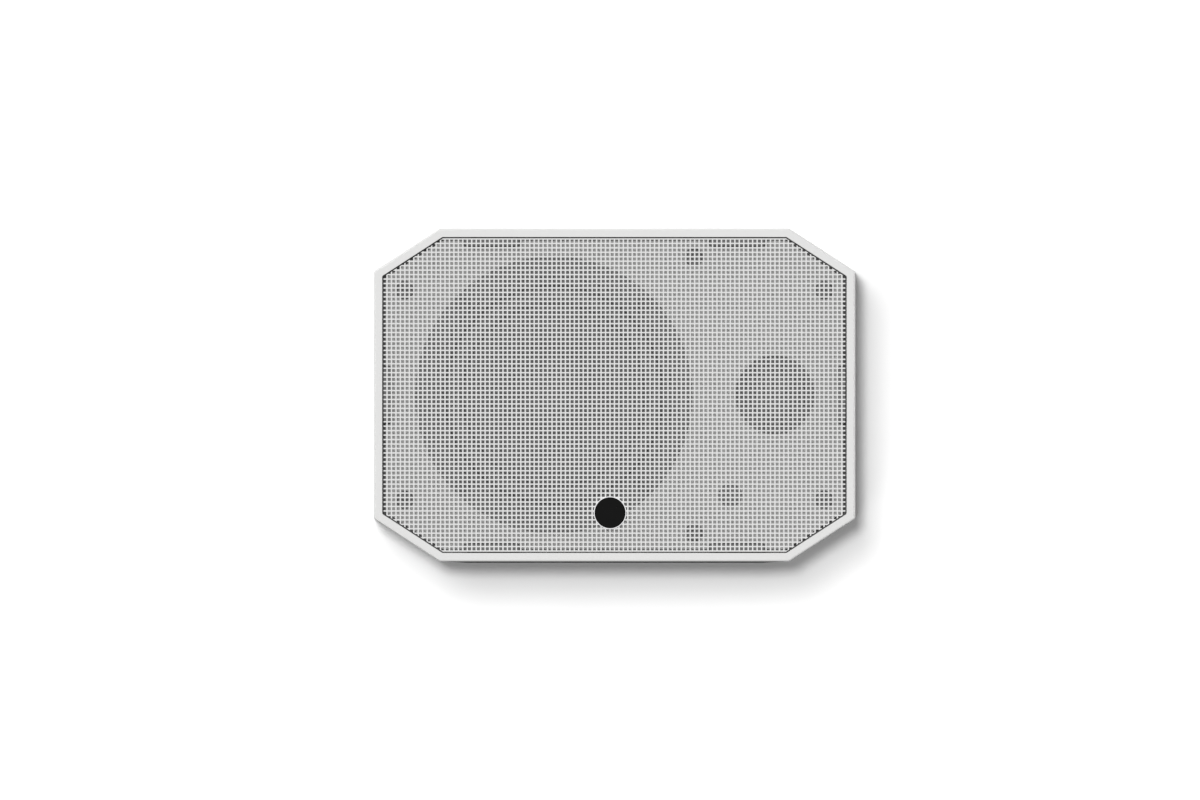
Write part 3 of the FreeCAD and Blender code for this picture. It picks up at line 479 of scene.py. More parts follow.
# %% [markdown]
# ### Black and red finishes
# The foot, the lead jackets and the terminals at the back, with their seal and screws, are black. The
# foot's black also paints the shade of the underside, as a thin dark line along the bottom of the front.
# One of the two levers is red, so that the wires can be told apart.

# %% Black and red finishes
# Black rubber on the foot pad: partly the pad's own colour, partly painted shade of the underside.
black_rubber = finish(
    "black_rubber", (0.020, 0.020, 0.020), 0.75, (0.20, 120), grain, 0.03 * mm, Scale=1300, Softness=0.5)
black_foam = finish(
    "black_foam", (0.030, 0.030, 0.031), 0.95, (0.35, 500), grain, 0.20 * mm, Scale=900, Softness=0.2)
black_plastic = finish(
    "black_plastic", (0.024, 0.024, 0.025), 0.50, (0.12, 70), grain, 0.04 * mm, Scale=1800, Softness=0.4)
red_plastic = finish(
    "red_plastic", (0.46, 0.018, 0.014), 0.42, (0.06, 70), grain, 0.03 * mm, Scale=1800, Softness=0.4)
black_screw = finish(
    "black_screw", (0.022, 0.022, 0.023), 0.38, (0.25, 400), grain, 0.02 * mm, Scale=2600, Softness=0.5)
lead_jacket = finish(
    "lead_jacket", (0.035, 0.035, 0.036), 0.55, (0.15, 200), grain, 0.02 * mm, Scale=900, Softness=0.7)
dress(black_rubber, "foot_pad")
dress(black_foam, "cup_seal")
dress(black_plastic, "terminal_cup", "black_lever")
dress(red_plastic, "red_lever")
dress(lead_jacket, "input_leads", "woofer_leads", "tweeter_leads")

# %% [markdown]
# ### The badge
# A small round badge sits low on the sheet: a bright turned rim round a gloss black disc, left plain.
# The rim's fine lathe rings come from the ring group, centred on the badge. The disc is so smooth that it
# mirrors the room as lacquer does, but only weakly, so it stays black.

# %% Badge finishes
def middle_of(node):
    """Middle of a CAD node's box."""
    low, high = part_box(node)
    return (low + high) / 2


badge = middle_of("badge_dish")
bright_rim = finish(
    "bright_rim", (0.94, 0.94, 0.95), 0.03, (0.05, 300), rings, 0.00005 * mm, metallic=1.0,
    Centre_X=badge.x, Centre_Z=badge.z, Rings_per_metre=9000)
black_gloss = finish(
    "black_gloss", (0.004, 0.004, 0.004), 0.02, (0.20, 150), grain, 0.0004 * mm, Scale=400, Softness=1.0)
black_gloss.node_tree.nodes["Principled BSDF"].inputs["Specular IOR Level"].default_value = 0.08
print("badge at", [round(v, 4) for v in badge])

# %% [markdown]
# ### Paper, cloth and wadding
# The cone and its cap are pressed from dark paper pulp and coated, which leaves faint rings.
# The dome and the spider are woven cloth, stiffened with resin, so the weave group lifts their threads.
# Wadding is a mat of loose fibres, which a deep, coarse grain stands for.

# %% Paper and cloth finishes
woofer = middle_of("woofer_cone")
tweeter = middle_of("tweeter_dome")
grey_cone = finish(
    "grey_cone", dark_grey, 0.75, (0.10, 260), rings, 0.04 * mm,
    Centre_X=woofer.x, Centre_Z=woofer.z, Rings_per_metre=420)
grey_cloth = finish("grey_cloth", dark_grey, 0.80, (0.10, 300), weave, 0.04 * mm, Threads_per_metre=3200)
amber_cloth = finish(
    "amber_cloth", (0.26, 0.18, 0.08), 0.75, (0.20, 150), weave, 0.08 * mm, Threads_per_metre=1600)
wadding = finish("wadding", (0.62, 0.62, 0.60), 0.95, (0.12, 300), grain, 0.60 * mm, Scale=420, Softness=0.3)
dress(grey_cone, "woofer_cone", "woofer_dust_cap")

# %% [markdown]
# ### Bare metals and magnets
# The magnet system is plated steel round a grey ferrite ring; terminals and inserts are brass.
# Turned parts carry the ring group about their own axis, and wire and coil tubes carry the winding group.

# %% Metal finishes
def metal(name, colour, roughness, blotch, relief, depth=0.01 * mm, **relief_values):
    """Finish of bare metal, smooth unless a depth is given."""
    return finish(name, colour, roughness, blotch, relief, depth, metallic=1.0, **relief_values)


steel = (0.52, 0.52, 0.54)
plated_steel = metal(
    "plated_steel", steel, 0.34, (0.08, 90), rings,
    Centre_X=woofer.x, Centre_Z=woofer.z, Rings_per_metre=1500)
tweeter_steel = metal(
    "tweeter_steel", steel, 0.34, (0.08, 90), rings,
    Centre_X=tweeter.x, Centre_Z=tweeter.z, Rings_per_metre=2000)
bright_magnet = metal("bright_magnet", (0.62, 0.61, 0.58), 0.25, (0.06, 200), grain, Scale=900, Softness=0.5)
spring_steel = metal("spring_steel", (0.47, 0.47, 0.48), 0.32, (0.10, 300), grain, Scale=1500, Softness=0.5)
zinc_screw = metal("zinc_screw", (0.55, 0.55, 0.53), 0.36, (0.15, 400), grain, Scale=2000, Softness=0.5)
brass_tab = metal("brass_tab", (0.62, 0.46, 0.20), 0.34, (0.12, 250), grain, Scale=1400, Softness=0.6)
foil_tube = metal("foil_tube", (0.62, 0.62, 0.63), 0.30, (0.08, 250), wound, Turns_per_metre=500)
copper_wire = metal(
    "copper_wire", (0.60, 0.27, 0.11), 0.30, (0.18, 350), wound, 0.25 * mm, Turns_per_metre=1100)
ferrite = finish(
    "ferrite", (0.055, 0.055, 0.060), 0.60, (0.20, 120), grain, 0.08 * mm, Scale=600, Softness=0.6)
dress(plated_steel, "woofer_front_plate", "woofer_yoke")
dress(tweeter_steel, "tweeter_pole_plate", "tweeter_cup")
dress(ferrite, "woofer_magnet")
dress(bright_magnet, "tweeter_magnet")
dress(spring_steel, "badge_push_nut")
dress(zinc_screw, "lever_pins")
dress(brass_tab, "woofer_tag_tabs", "tweeter_tabs", "terminal_contacts")
dress(foil_tube, "woofer_coil_former", "tweeter_voice_coil")
dress(copper_wire, "woofer_coil_winding", "woofer_inductor", "tweeter_inductor")

# %% [markdown]
# ### The crossover board
# Inside, a small board splits the sound between the drivers: a brown resin-paper sheet with two coils, two
# taped capacitors and a white cemented resistor. It is out of sight, but the part can be taken apart.

# %% Board finishes
board_sheet = finish(
    "board_sheet", (0.27, 0.20, 0.10), 0.55, (0.15, 220), weave, 0.02 * mm, Threads_per_metre=1200)
film_tape = finish(
    "film_tape", (0.10, 0.11, 0.30), 0.28, (0.10, 150), grain, 0.03 * mm, Scale=500, Softness=0.8)
white_cement = finish(
    "white_cement", (0.70, 0.69, 0.66), 0.80, (0.10, 300), grain, 0.10 * mm, Scale=900, Softness=0.5)
dress(board_sheet, "crossover_board", "woofer_tag_strip")
dress(film_tape, "woofer_capacitor", "tweeter_capacitor")
dress(white_cement, "tweeter_resistor")

# %% [markdown]
# ## The perforated sheet
# The front is one steel sheet with about seven thousand square holes, and its edge cuts through the last
# column of them. Modelling every hole by hand is hopeless, and a see-through texture would have no
# thickness, so Geometry Nodes make it: a grid is laid out so that every second cell in both directions is
# a hole, those cells are deleted, the rest is given its thickness, and a boolean trims it to the outline.
# The hole size, pitch and counts are inputs of the tree.

# %% Tree helpers
def coat(tree, geometry, material, result):
    """Last two nodes of a geometry tree: real geometry in place of copies, then its material."""
    real = node_of(tree, "GeometryNodeRealizeInstances", Geometry=geometry)
    coated = node_of(tree, "GeometryNodeSetMaterial", Geometry=real.outputs[0], Material=material)
    tree.links.new(coated.outputs[0], result)
    print("tree", tree.name, len(tree.nodes), "nodes")


def grow(piece, tree, **values):
    """Run a geometry tree on a piece, keep the result as a plain mesh and drop the modifier."""
    modifier = piece.modifiers.new(tree.name, "NODES")
    modifier.node_group = tree
    for item in tree.interface.items_tree:
        label = item.name.replace(" ", "_")
        if item.in_out == "INPUT" and label in values:
            modifier[item.identifier] = values[label]
    bpy.context.view_layer.update()
    evaluated = piece.evaluated_get(bpy.context.evaluated_depsgraph_get())
    mesh = bpy.data.meshes.new_from_object(evaluated)
    piece.modifiers.remove(modifier)
    piece.data = mesh
    mesh.name = piece.name
    print(piece.name, len(mesh.polygons), "faces")


print("tree helpers ready")

# %% Sheet tree: lay out the grid
sheet, given, result = new_tree(
    "perforated_sheet", "GeometryNodeTree", "Sheet", "Geometry", Outline="Geometry", Columns=10, Rows=10,
    Pitch=2.0 * mm, Hole=1.0 * mm, Thickness=1.0 * mm, Middle=(0, 0, 0), Finish="Material")
lines_x = calc(sheet, "MULTIPLY_ADD", given["Columns"], 2.0, 2.0)
lines_y = calc(sheet, "MULTIPLY_ADD", given["Rows"], 2.0, 2.0)
grid = node_of(
    sheet, "GeometryNodeMeshGrid", Vertices_X=lines_x, Vertices_Y=lines_y,
    Size_X=calc(sheet, "SUBTRACT", lines_x, 1.0), Size_Y=calc(sheet, "SUBTRACT", lines_y, 1.0))
position = sheet.nodes.new("GeometryNodeInputPosition").outputs[0]
spot = node_of(sheet, "ShaderNodeSeparateXYZ", Vector=position).outputs


def line_number(along, lines):
    """Number of the grid line or cell, from a position in a grid of unit cells."""
    return calc(sheet, "MULTIPLY_ADD", calc(sheet, "SUBTRACT", lines, 1.0), 0.5, along)


cell_x = calc(sheet, "FLOOR", line_number(spot["X"], lines_x))
cell_y = calc(sheet, "FLOOR", line_number(spot["Y"], lines_y))
odd = calc(sheet, "MULTIPLY", calc(sheet, "MODULO", cell_x, 2.0), calc(sheet, "MODULO", cell_y, 2.0))
bars = node_of(
    sheet, "GeometryNodeDeleteGeometry", domain="FACE", Geometry=grid.outputs["Mesh"], Selection=odd)
print("grid laid out")

# %% Sheet tree: real spacing, thickness and outline
sheet_weld = 0.01 * mm
bar_width = calc(sheet, "SUBTRACT", given["Pitch"], given["Hole"])


def real_place(along, lines, count):
    """Place of a grid line: the middle of its bar, plus or minus half the bar."""
    line = calc(sheet, "ROUND", line_number(along, lines))
    bar = calc(sheet, "FLOOR", calc(sheet, "MULTIPLY", line, 0.5))
    middle = calc(sheet, "MULTIPLY", calc(sheet, "MULTIPLY_ADD", count, -0.5, bar), given["Pitch"])
    side = calc(sheet, "SUBTRACT", calc(sheet, "MODULO", line, 2.0), 0.5)
    return calc(sheet, "MULTIPLY_ADD", side, bar_width, middle)


target = node_of(
    sheet, "ShaderNodeCombineXYZ", X=real_place(spot["X"], lines_x, given["Columns"]),
    Y=real_place(spot["Y"], lines_y, given["Rows"]))
spaced = node_of(sheet, "GeometryNodeSetPosition", Geometry=bars.outputs[0], Position=target.outputs[0])
upright = node_of(
    sheet, "GeometryNodeTransform", Geometry=spaced.outputs[0], Rotation=(math.radians(90), 0, 0),
    Translation=given["Middle"])
forward = node_of(sheet, "ShaderNodeCombineXYZ", Y=calc(sheet, "MULTIPLY", given["Thickness"], -1.0))
front = node_of(
    sheet, "GeometryNodeExtrudeMesh", Mesh=upright.outputs[0], Offset=forward.outputs[0], Offset_Scale=1.0,
    Individual=False)
back = node_of(sheet, "GeometryNodeFlipFaces", Mesh=upright.outputs[0])
both = sheet.nodes.new("GeometryNodeJoinGeometry")
sheet.links.new(front.outputs["Mesh"], both.inputs[0])
sheet.links.new(back.outputs[0], both.inputs[0])
solid = node_of(sheet, "GeometryNodeMergeByDistance", Geometry=both.outputs[0], Distance=sheet_weld)
trim = node_of(sheet, "GeometryNodeMeshBoolean", operation="INTERSECT", solver="MANIFOLD")
sheet.links.new(solid.outputs[0], trim.inputs["Mesh 2"])
sheet.links.new(given["Outline"], trim.inputs["Mesh 2"])
coat(sheet, trim.outputs["Mesh"], given["Finish"], result)

# %% Sheet outline
corner_run, corner_rise = 33.0 * mm, 21.4 * mm
sheet_low, sheet_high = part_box("grille")
shell_low, shell_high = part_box("cabinet_shell")
middle_z = (shell_low.z + shell_high.z) / 2
half_x = sheet_high.x
half_z = (sheet_high.z - sheet_low.z) / 2
inset = shell_high.x - half_x
slope = math.atan2(corner_rise, corner_run)
run = corner_run - inset * (1 - math.tan(slope / 2))
rise = corner_rise - inset * (1 - math.tan(math.pi / 4 - slope / 2))
quarter = [(half_x - run, half_z), (half_x, half_z - rise)]
right = quarter + [(x, -z) for x, z in reversed(quarter)]
outline = right + [(-x, -z) for x, z in right]
print("outline of", len(outline), "corners, inset", round(inset, 5))

# %% Perforated sheet
def face_outwards(mesh):
    """Turn the faces of a closed mesh outwards."""
    shape = bmesh.new()
    shape.from_mesh(mesh)
    bmesh.ops.recalc_face_normals(shape, faces=shape.faces)
    shape.to_mesh(mesh)
    shape.free()


def fix_to_cabinet(piece, node):
    """Let a piece stand for a CAD node that rides on the cabinet."""
    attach(piece, "cabinet")
    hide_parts(node)


hole_pitch, hole_side = 2.222 * mm, 1.555 * mm
hole_columns, hole_rows = 104, 70
trim_reach = 1.0 * mm
count = len(outline)
depths = (sheet_low.y - trim_reach, sheet_high.y + trim_reach)
points = [(x, y, z + middle_z) for y in depths for x, z in outline]
ends = [range(count), range(2 * count - 1, count - 1, -1)]
sides = [(i, i + count, (i + 1) % count + count, (i + 1) % count) for i in range(count)]
grille = add_piece("perforated_grille", points, ends + sides)
face_outwards(grille.data)
grow(grille, sheet, Columns=hole_columns, Rows=hole_rows, Pitch=hole_pitch, Hole=hole_side,
     Thickness=sheet_high.y - sheet_low.y, Middle=(0, sheet_high.y, middle_z), Finish=white_sheet)
fix_to_cabinet(grille, "grille")

# %% [markdown]
# ## Foam strips
# Six foam strips hold the sheet off the baffle and stop it buzzing: they show as dark dashes along the
# edge. They are cut from foam sheet, so their corners are soft.
# Geometry Nodes put one soft block on each place. The places are read from the solids of the frame, by
# walking along the edges that hang together.

# %% Places of the solids in a node
def merged(mesh):
    """Editable copy of a CAD mesh, with its loose triangles joined."""
    weld = 0.001 * mm
    shape = bmesh.new()
    shape.from_mesh(mesh)
    bmesh.ops.remove_doubles(shape, verts=shape.verts, dist=weld)
    return shape


def solids_of(node):
    """Lowest and highest corner of each separate solid in a CAD node."""
    shape = merged(nodes[node].data)
    waiting = set(shape.verts)
    boxes = []
    while waiting:
        group = [waiting.pop()]
        for vertex in group:
            for link in vertex.link_edges:
                other = link.other_vert(vertex)
                if other in waiting:
                    waiting.remove(other)
                    group.append(other)
        low = Vector([min(v.co[i] for v in group) for i in range(3)])
        high = Vector([max(v.co[i] for v in group) for i in range(3)])
        boxes.append((low, high))
    shape.free()
    return sorted(boxes, key=lambda box: (round(box[0].x, 5), round(box[0].z, 5)))


strip_boxes = solids_of("grille_blocks")
print(len(strip_boxes), "strips")

# %% Foam strips
strips, given, result = new_tree(
    "foam_strips", "GeometryNodeTree", "Strips", "Geometry", Places="Geometry",
    Length=30.0 * mm, Width=5.0 * mm, Depth=10.0 * mm, Finish="Material")
size = node_of(strips, "ShaderNodeCombineXYZ", X=given["Length"], Y=given["Depth"], Z=given["Width"])
cube = node_of(
    strips, "GeometryNodeMeshCube", Size=size.outputs[0], Vertices_X=5, Vertices_Y=3, Vertices_Z=3)
soft = node_of(strips, "GeometryNodeSubdivisionSurface", Mesh=cube.outputs["Mesh"], Level=2, Edge_Crease=0.0)
smooth = node_of(strips, "GeometryNodeSetShadeSmooth", Geometry=soft.outputs[0])
angle = node_of(strips, "GeometryNodeInputNamedAttribute", Name="turn")
euler = node_of(strips, "ShaderNodeCombineXYZ", Y=angle.outputs[0])
turn = node_of(strips, "FunctionNodeEulerToRotation", Euler=euler.outputs[0])
placed = node_of(
    strips, "GeometryNodeInstanceOnPoints", Points=given["Places"], Instance=smooth.outputs[0],
    Rotation=turn.outputs[0])
coat(strips, placed.outputs[0], given["Finish"], result)

foam = add_piece("foam_strips", [(low + high) / 2 for low, high in strip_boxes])
angles = foam.data.attributes.new("turn", "FLOAT", "POINT")
for entry, (low, high) in zip(angles.data, strip_boxes):
    entry.value = 0.0 if high.x - low.x > high.z - low.z else math.pi / 2
strip_width, strip_depth, strip_length = sorted(strip_boxes[0][1] - strip_boxes[0][0])
grow(foam, strips, Length=strip_length, Width=strip_width, Depth=strip_depth, Finish=grey_foam)
fix_to_cabinet(foam, "grille_blocks")

# %% [markdown]
# ## Turned pieces
# The badge, the screws, the inserts, the rubber surround, the spider and the dome are round about one axis.
# The Screw modifier could spin a profile, but a small function that lays rings of points is as short, and
# it lets a ring be other than round, which is how the screws get their sockets.

# %% Turning
sharp_angle = math.radians(32)


def turn_profile(name, profile, centre, steps, material=None, closed=False):
    """Rings of points round an axis along Y, from (radius, depth) pairs; a radius may vary by angle."""
    points, rows, faces = [], [], []
    for radius, depth in profile:
        if radius == 0:
            rows.append([len(points)] * steps)
            points.append((centre.x, centre.y + depth, centre.z))
            continue
        rows.append(range(len(points), len(points) + steps))
        for i in range(steps):
            angle = 2 * math.pi * i / steps
            reach = radius(angle) if callable(radius) else radius
            across, upward = reach * math.cos(angle), reach * math.sin(angle)
            points.append((centre.x + across, centre.y + depth, centre.z + upward))
    following = rows[1:] + rows[:1] if closed else rows[1:]
    for near, far in zip(rows, following):
        for i in range(steps):
            beside = (i + 1) % steps
            corners = list(dict.fromkeys([near[i], near[beside], far[beside], far[i]]))
            if len(corners) > 2:
                faces.append(corners)
    piece = add_piece(name, points, faces)
    face_outwards(piece.data)
    piece.data.shade_smooth()
    piece.data.set_sharp_from_angle(angle=sharp_angle)
    if material:
        piece.data.materials.append(material)
    print(name, len(faces), "faces turned")
    return piece


print("turning ready")

# %% [markdown]
# ## Badge
# The badge is a shallow dish with a thin polished rim, and a stud behind it goes through the sheet.
# A round bead would mirror the grey sheet beside it, so the rim is turned flat with two small bevels: it
# faces the viewer and mirrors the bright room all the way about. The lacquered disc lies just below it.

# %% Badge
def radius_of(node):
    """Half the width of a CAD node's box."""
    low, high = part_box(node)
    return (high.x - low.x) / 2


badge_low, badge_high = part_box("badge_dish")
badge_seat = Vector((badge.x, badge_low.y, badge.z))
rim_width, rim_bevel = 0.40 * mm, 0.05 * mm
rim_outer = radius_of("badge_dish")
rim_inner = rim_outer - rim_width
dish_floor, dish_depth = 0.50 * mm, sheet_low.y - badge_low.y
stud_radius, stud_taper = 1.2 * mm, 0.4 * mm
stud_end = badge_high.y - badge_low.y
section = [(0, dish_floor), (rim_inner, dish_floor), (rim_inner, rim_bevel), (rim_inner + rim_bevel, 0)]
section += [(rim_outer - rim_bevel, 0), (rim_outer, rim_bevel), (rim_outer, dish_depth)]
section += [(stud_radius, dish_depth), (stud_radius, stud_end - stud_taper)]
section += [(stud_radius - stud_taper, stud_end), (0, stud_end)]
badge_rim = turn_profile("badge_rim", section, badge_seat, steps=72, material=bright_rim)
fix_to_cabinet(badge_rim, "badge_dish")

disc_gap, disc_top, disc_bevel = 0.02 * mm, 0.10 * mm, 0.06 * mm
disc_radius = rim_inner - disc_gap
section = [(0, disc_top), (disc_radius - disc_bevel, disc_top), (disc_radius, disc_top + disc_bevel)]
section += [(disc_radius, dish_floor), (0, dish_floor)]
badge_disc = turn_profile("badge_disc", section, badge_seat, steps=72, material=black_gloss)
fix_to_cabinet(badge_disc, "badge_face")

# %% [markdown]
# ## Screws
# Pan-head screws hold the baffle, the drivers and the board; small countersunk ones hold the terminal cup.
# One screw of each size is turned with its socket and thread, and a small tree puts a copy on each place
# with its own random drive angle, because no one stops every screw at the same turn.

# %% Screw tree
screw_set, given, result = new_tree(
    "screw_set", "GeometryNodeTree", "Screws", "Geometry", Places="Geometry", Screw="Object", Facing=0.0,
    Seed=1, Finish="Material")
source = node_of(screw_set, "GeometryNodeObjectInfo", transform_space="ORIGINAL", Object=given["Screw"])
drive = node_of(screw_set, "FunctionNodeRandomValue", data_type="FLOAT", Seed=given["Seed"])
spin = calc(screw_set, "MULTIPLY", drive.outputs[1], 2 * math.pi)
euler = node_of(screw_set, "ShaderNodeCombineXYZ", Y=spin, Z=given["Facing"])
turn = node_of(screw_set, "FunctionNodeEulerToRotation", Euler=euler.outputs[0])
placed = node_of(
    screw_set, "GeometryNodeInstanceOnPoints", Points=given["Places"], Instance=source.outputs["Geometry"],
    Rotation=turn.outputs[0])
coat(screw_set, placed.outputs[0], given["Finish"], result)

# %% Sockets and threads
def hexagon(reach):
    """Distance from the axis to a hexagon's side, by angle."""
    return lambda angle: reach * math.cos(math.pi / 6) / math.cos((angle % (math.pi / 3)) - math.pi / 6)


def cross(reach, arm):
    """Distance from the axis to the edge of a four-armed recess, by angle."""
    def side(angle):
        turn = (angle + math.pi / 4) % (math.pi / 2) - math.pi / 4
        return min(reach, arm / max(abs(math.sin(turn)), 0.001))
    return side


def thread(shank, start, end, pitch):
    """Zigzag of crests and roots down the shank, ending in a point."""
    root_share, point_share = 0.82, 0.3
    count = max(2, int((end - shank - start) / pitch))
    rows = [(shank, 0.0)]
    for i in range(count):
        rows += [(shank * root_share, start + (i + 0.5) * pitch), (shank, start + (i + 1) * pitch)]
    return rows + [(shank * point_share, end), (0, end)]


print("sockets and threads ready")

# %% One screw of each kind
origin = Vector((0, 0, 0))
dome_shares = ((0.60, 1.00), (0.80, 0.88), (0.93, 0.62), (1.00, 0.25), (1.00, 0.00))


def pan_screw(head, height, shank, length):
    """Pan head with a hexagon socket; its shape is in shares of the head's radius and height."""
    socket, mouth = hexagon(head * 0.40), hexagon(head * 0.43)
    shares = [(0, 0.35), (socket, 0.35), (socket, 0.97), (mouth, 1.00)]
    shares += [(head * across, up) for across, up in dome_shares]
    profile = [(radius, -height * up) for radius, up in shares]
    profile += thread(shank, start=0.8 * mm, end=length, pitch=0.9 * mm)
    return turn_profile("pan_screw", profile, origin, steps=36)


def flat_screw(head, shank, length):
    """Countersunk head with a cross recess; its shape is in shares of the head's radius."""
    wide, narrow = cross(head * 0.68, head * 0.16), cross(head * 0.34, head * 0.10)
    neck = head - shank
    profile = [(0, head * 0.55), (narrow, head * 0.50), (wide, 0), (head, 0), (shank, neck)]
    profile += thread(shank, start=neck + 0.4 * mm, end=length, pitch=0.8 * mm)[1:]
    return turn_profile("flat_screw", profile, origin, steps=48)


print("screw shapes ready")

# %% Drive the screws
def drive_screws(name, node, screw, seat, facing, seed, material):
    """Copies of a screw on the solids of a CAD node, their heads against a plane of constant Y."""
    places = [((low.x + high.x) / 2, seat, (low.z + high.z) / 2) for low, high in solids_of(node)]
    piece = add_piece(name, places)
    grow(piece, screw_set, Screw=screw, Facing=facing, Seed=seed, Finish=material)
    fix_to_cabinet(piece, node)
    bpy.data.objects.remove(screw)


to_front, to_rear = 0.0, math.pi
baffle_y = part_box("front_baffle")[0].y
board_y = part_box("crossover_board")[0].y
tweeter_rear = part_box("tweeter_faceplate")[1].y
drive_screws(
    "baffle_screw_set", "baffle_screws", pan_screw(4.6 * mm, 3.0 * mm, 2.4 * mm, 26 * mm),
    seat=baffle_y, facing=to_front, seed=3, material=grey_screw)
drive_screws(
    "woofer_screw_set", "woofer_screws", pan_screw(3.5 * mm, 2.0 * mm, 1.7 * mm, 8.6 * mm),
    seat=baffle_y, facing=to_front, seed=5, material=grey_screw)
drive_screws(
    "board_screw_set", "board_screws", pan_screw(2.8 * mm, 1.9 * mm, 1.3 * mm, 8.1 * mm),
    seat=board_y, facing=to_front, seed=7, material=zinc_screw)
drive_screws(
    "tweeter_screw_set", "tweeter_screws", pan_screw(2.2 * mm, 1.4 * mm, 1.05 * mm, 7.5 * mm),
    seat=tweeter_rear, facing=to_rear, seed=9, material=zinc_screw)
drive_screws(
    "cup_screw_set", "cup_screws", flat_screw(2.6 * mm, 1.25 * mm, 9 * mm),
    seat=shell_high.y, facing=to_rear, seed=11, material=black_screw)

# %% [markdown]
# ## Threaded inserts
# Two brass inserts in the rear wall take the bolts of a bracket. Each is a tube with a thread in its bore.
# It is turned as the screws are, with the crests and roots on its inner side, and the same tree places it.

# %% Threaded inserts
def threaded_insert(outer, bore, length, pitch):
    """Tube with a thread in its bore."""
    root = bore + pitch / 2
    section = [(outer, 0), (root, 0)]
    for i in range(round(length / pitch)):
        section += [(bore, (i + 0.5) * pitch), (root, (i + 1) * pitch)]
    return turn_profile("insert", section + [(outer, length)], origin, steps=48, closed=True)


insert_low, insert_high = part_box("mounting_inserts")
insert_length = insert_high.y - insert_low.y
insert = threaded_insert(radius_of("mounting_inserts"), bore=2.5 * mm, length=insert_length, pitch=1.0 * mm)
drive_screws(
    "threaded_insert_set", "mounting_inserts", insert,
    seat=shell_high.y, facing=to_rear, seed=13, material=brass_tab)

# %% [markdown]
# ## Surround and spider
# The cone hangs on two soft rings: a rubber half roll at its rim and a folded cloth spider at its neck.
# When the cone travels, their inner edge goes with it and their outer edge stays on the basket.
# Each is turned from its section, and a weight that falls from the inner to the outer radius tells every
# point how much of the travel to follow.

# %% Surround
def follow_by_radius(piece, moving, centre, inner, outer):
    """Points within the inner radius follow the moving body, those beyond the outer one stay put."""
    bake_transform(piece, "cabinet", moving, (centre.x, 0, centre.z), (centre.x + outer, 0, centre.z))
    weights = piece.data.attributes["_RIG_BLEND"].data
    for vertex, weight in zip(piece.data.vertices, weights):
        reach = math.hypot(vertex.co.x - centre.x, vertex.co.z - centre.z)
        share = min(max((outer - reach) / (outer - inner), 0.0), 1.0)
        weight.value = share * share * (3 - 2 * share)


flange = Vector((woofer.x, baffle_y, woofer.z))
lip_radius, lip_width, inner_lip_width = radius_of("woofer_surround"), 4.0 * mm, 2.5 * mm
roll, rubber, rebate, arc_steps = 4.9 * mm, 0.8 * mm, 2.2 * mm, 16
roll_middle = lip_radius - lip_width - roll
inner_lip = roll_middle - roll - inner_lip_width
top, hollow = rebate - rubber, roll - rubber
arc = [math.pi * i / arc_steps for i in range(arc_steps + 1)]
section = [(inner_lip, rebate)]
section += [(roll_middle - hollow * math.cos(angle), rebate - hollow * math.sin(angle)) for angle in arc]
section += [(lip_radius, rebate), (lip_radius, top)]
section += [(roll_middle + roll * math.cos(angle), top - hollow * math.sin(angle)) for angle in arc]
section += [(inner_lip, top)]
surround = turn_profile("rubber_surround", section, flange, steps=96, material=grey_rubber, closed=True)
follow_by_radius(surround, "woofer_diaphragm", woofer, roll_middle - roll, roll_middle + roll)
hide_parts("woofer_surround")

# %% Spider
neck_radius, neck_flat = 12.85 * mm, 2.2 * mm
first, last = neck_radius + neck_flat, 34.5 * mm
fold, cloth, folds, fold_steps = 1.2 * mm, 0.5 * mm, 4, 8
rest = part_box("woofer_spider")[1].y - fold - baffle_y
wave_steps = folds * fold_steps
wave = [(neck_radius, rest)]
for i in range(wave_steps + 1):
    height = fold * math.sin(2 * math.pi * i / fold_steps)
    wave.append((first + (last - first) * i / wave_steps, rest + height))
wave.append((radius_of("woofer_spider"), rest))
section = wave + [(radius, depth - cloth) for radius, depth in reversed(wave)]
spider = turn_profile("cloth_spider", section, flange, steps=72, material=amber_cloth, closed=True)
follow_by_radius(spider, "woofer_diaphragm", woofer, first, last)
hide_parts("woofer_spider")

# %% [markdown]
# ## Tweeter dome
# The tweeter is a coated cloth dome with a tiny roll round it, glued down at its outer rim. The dome moves
# a fraction of a millimetre and the rim doesn't, so the same weight by radius serves.

# %% Dome
dome_radius, dome_rise, dome_sheet, cap_steps = 12.6 * mm, 5.0 * mm, 0.35 * mm, 12
edge_roll, edge_gap, roll_steps = 1.3 * mm, 0.1 * mm, 8
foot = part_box("tweeter_dome")[1].y - dome_sheet - baffle_y
ball = (dome_radius ** 2 + dome_rise ** 2) / (2 * dome_rise)
edge_middle = dome_radius + edge_gap + edge_roll
outer = []
for i in range(cap_steps + 1):
    across = dome_radius * i / cap_steps
    outer.append((across, foot - dome_rise + ball - math.sqrt(ball ** 2 - across ** 2)))
for i in range(roll_steps + 1):
    angle = math.pi * i / roll_steps
    outer.append((edge_middle - edge_roll * math.cos(angle), foot - edge_roll * math.sin(angle)))
outer.append((radius_of("tweeter_dome"), foot))
section = outer + [(radius, depth + dome_sheet) for radius, depth in reversed(outer)]
tweeter_seat = Vector((tweeter.x, baffle_y, tweeter.z))
dome = turn_profile("cloth_dome", section, tweeter_seat, steps=64, material=grey_cloth)
follow_by_radius(dome, "tweeter_diaphragm", tweeter, dome_radius, edge_middle + edge_roll)
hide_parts("tweeter_dome")

# %% [markdown]
# ## Flexible leads and lever springs
# Two braided leads carry the current from the tags to the moving cone, and a folded leaf spring pushes each
# terminal lever back. They bend in use, so copies of their solids, with the loose triangles merged, are
# blended from the one end to the other.

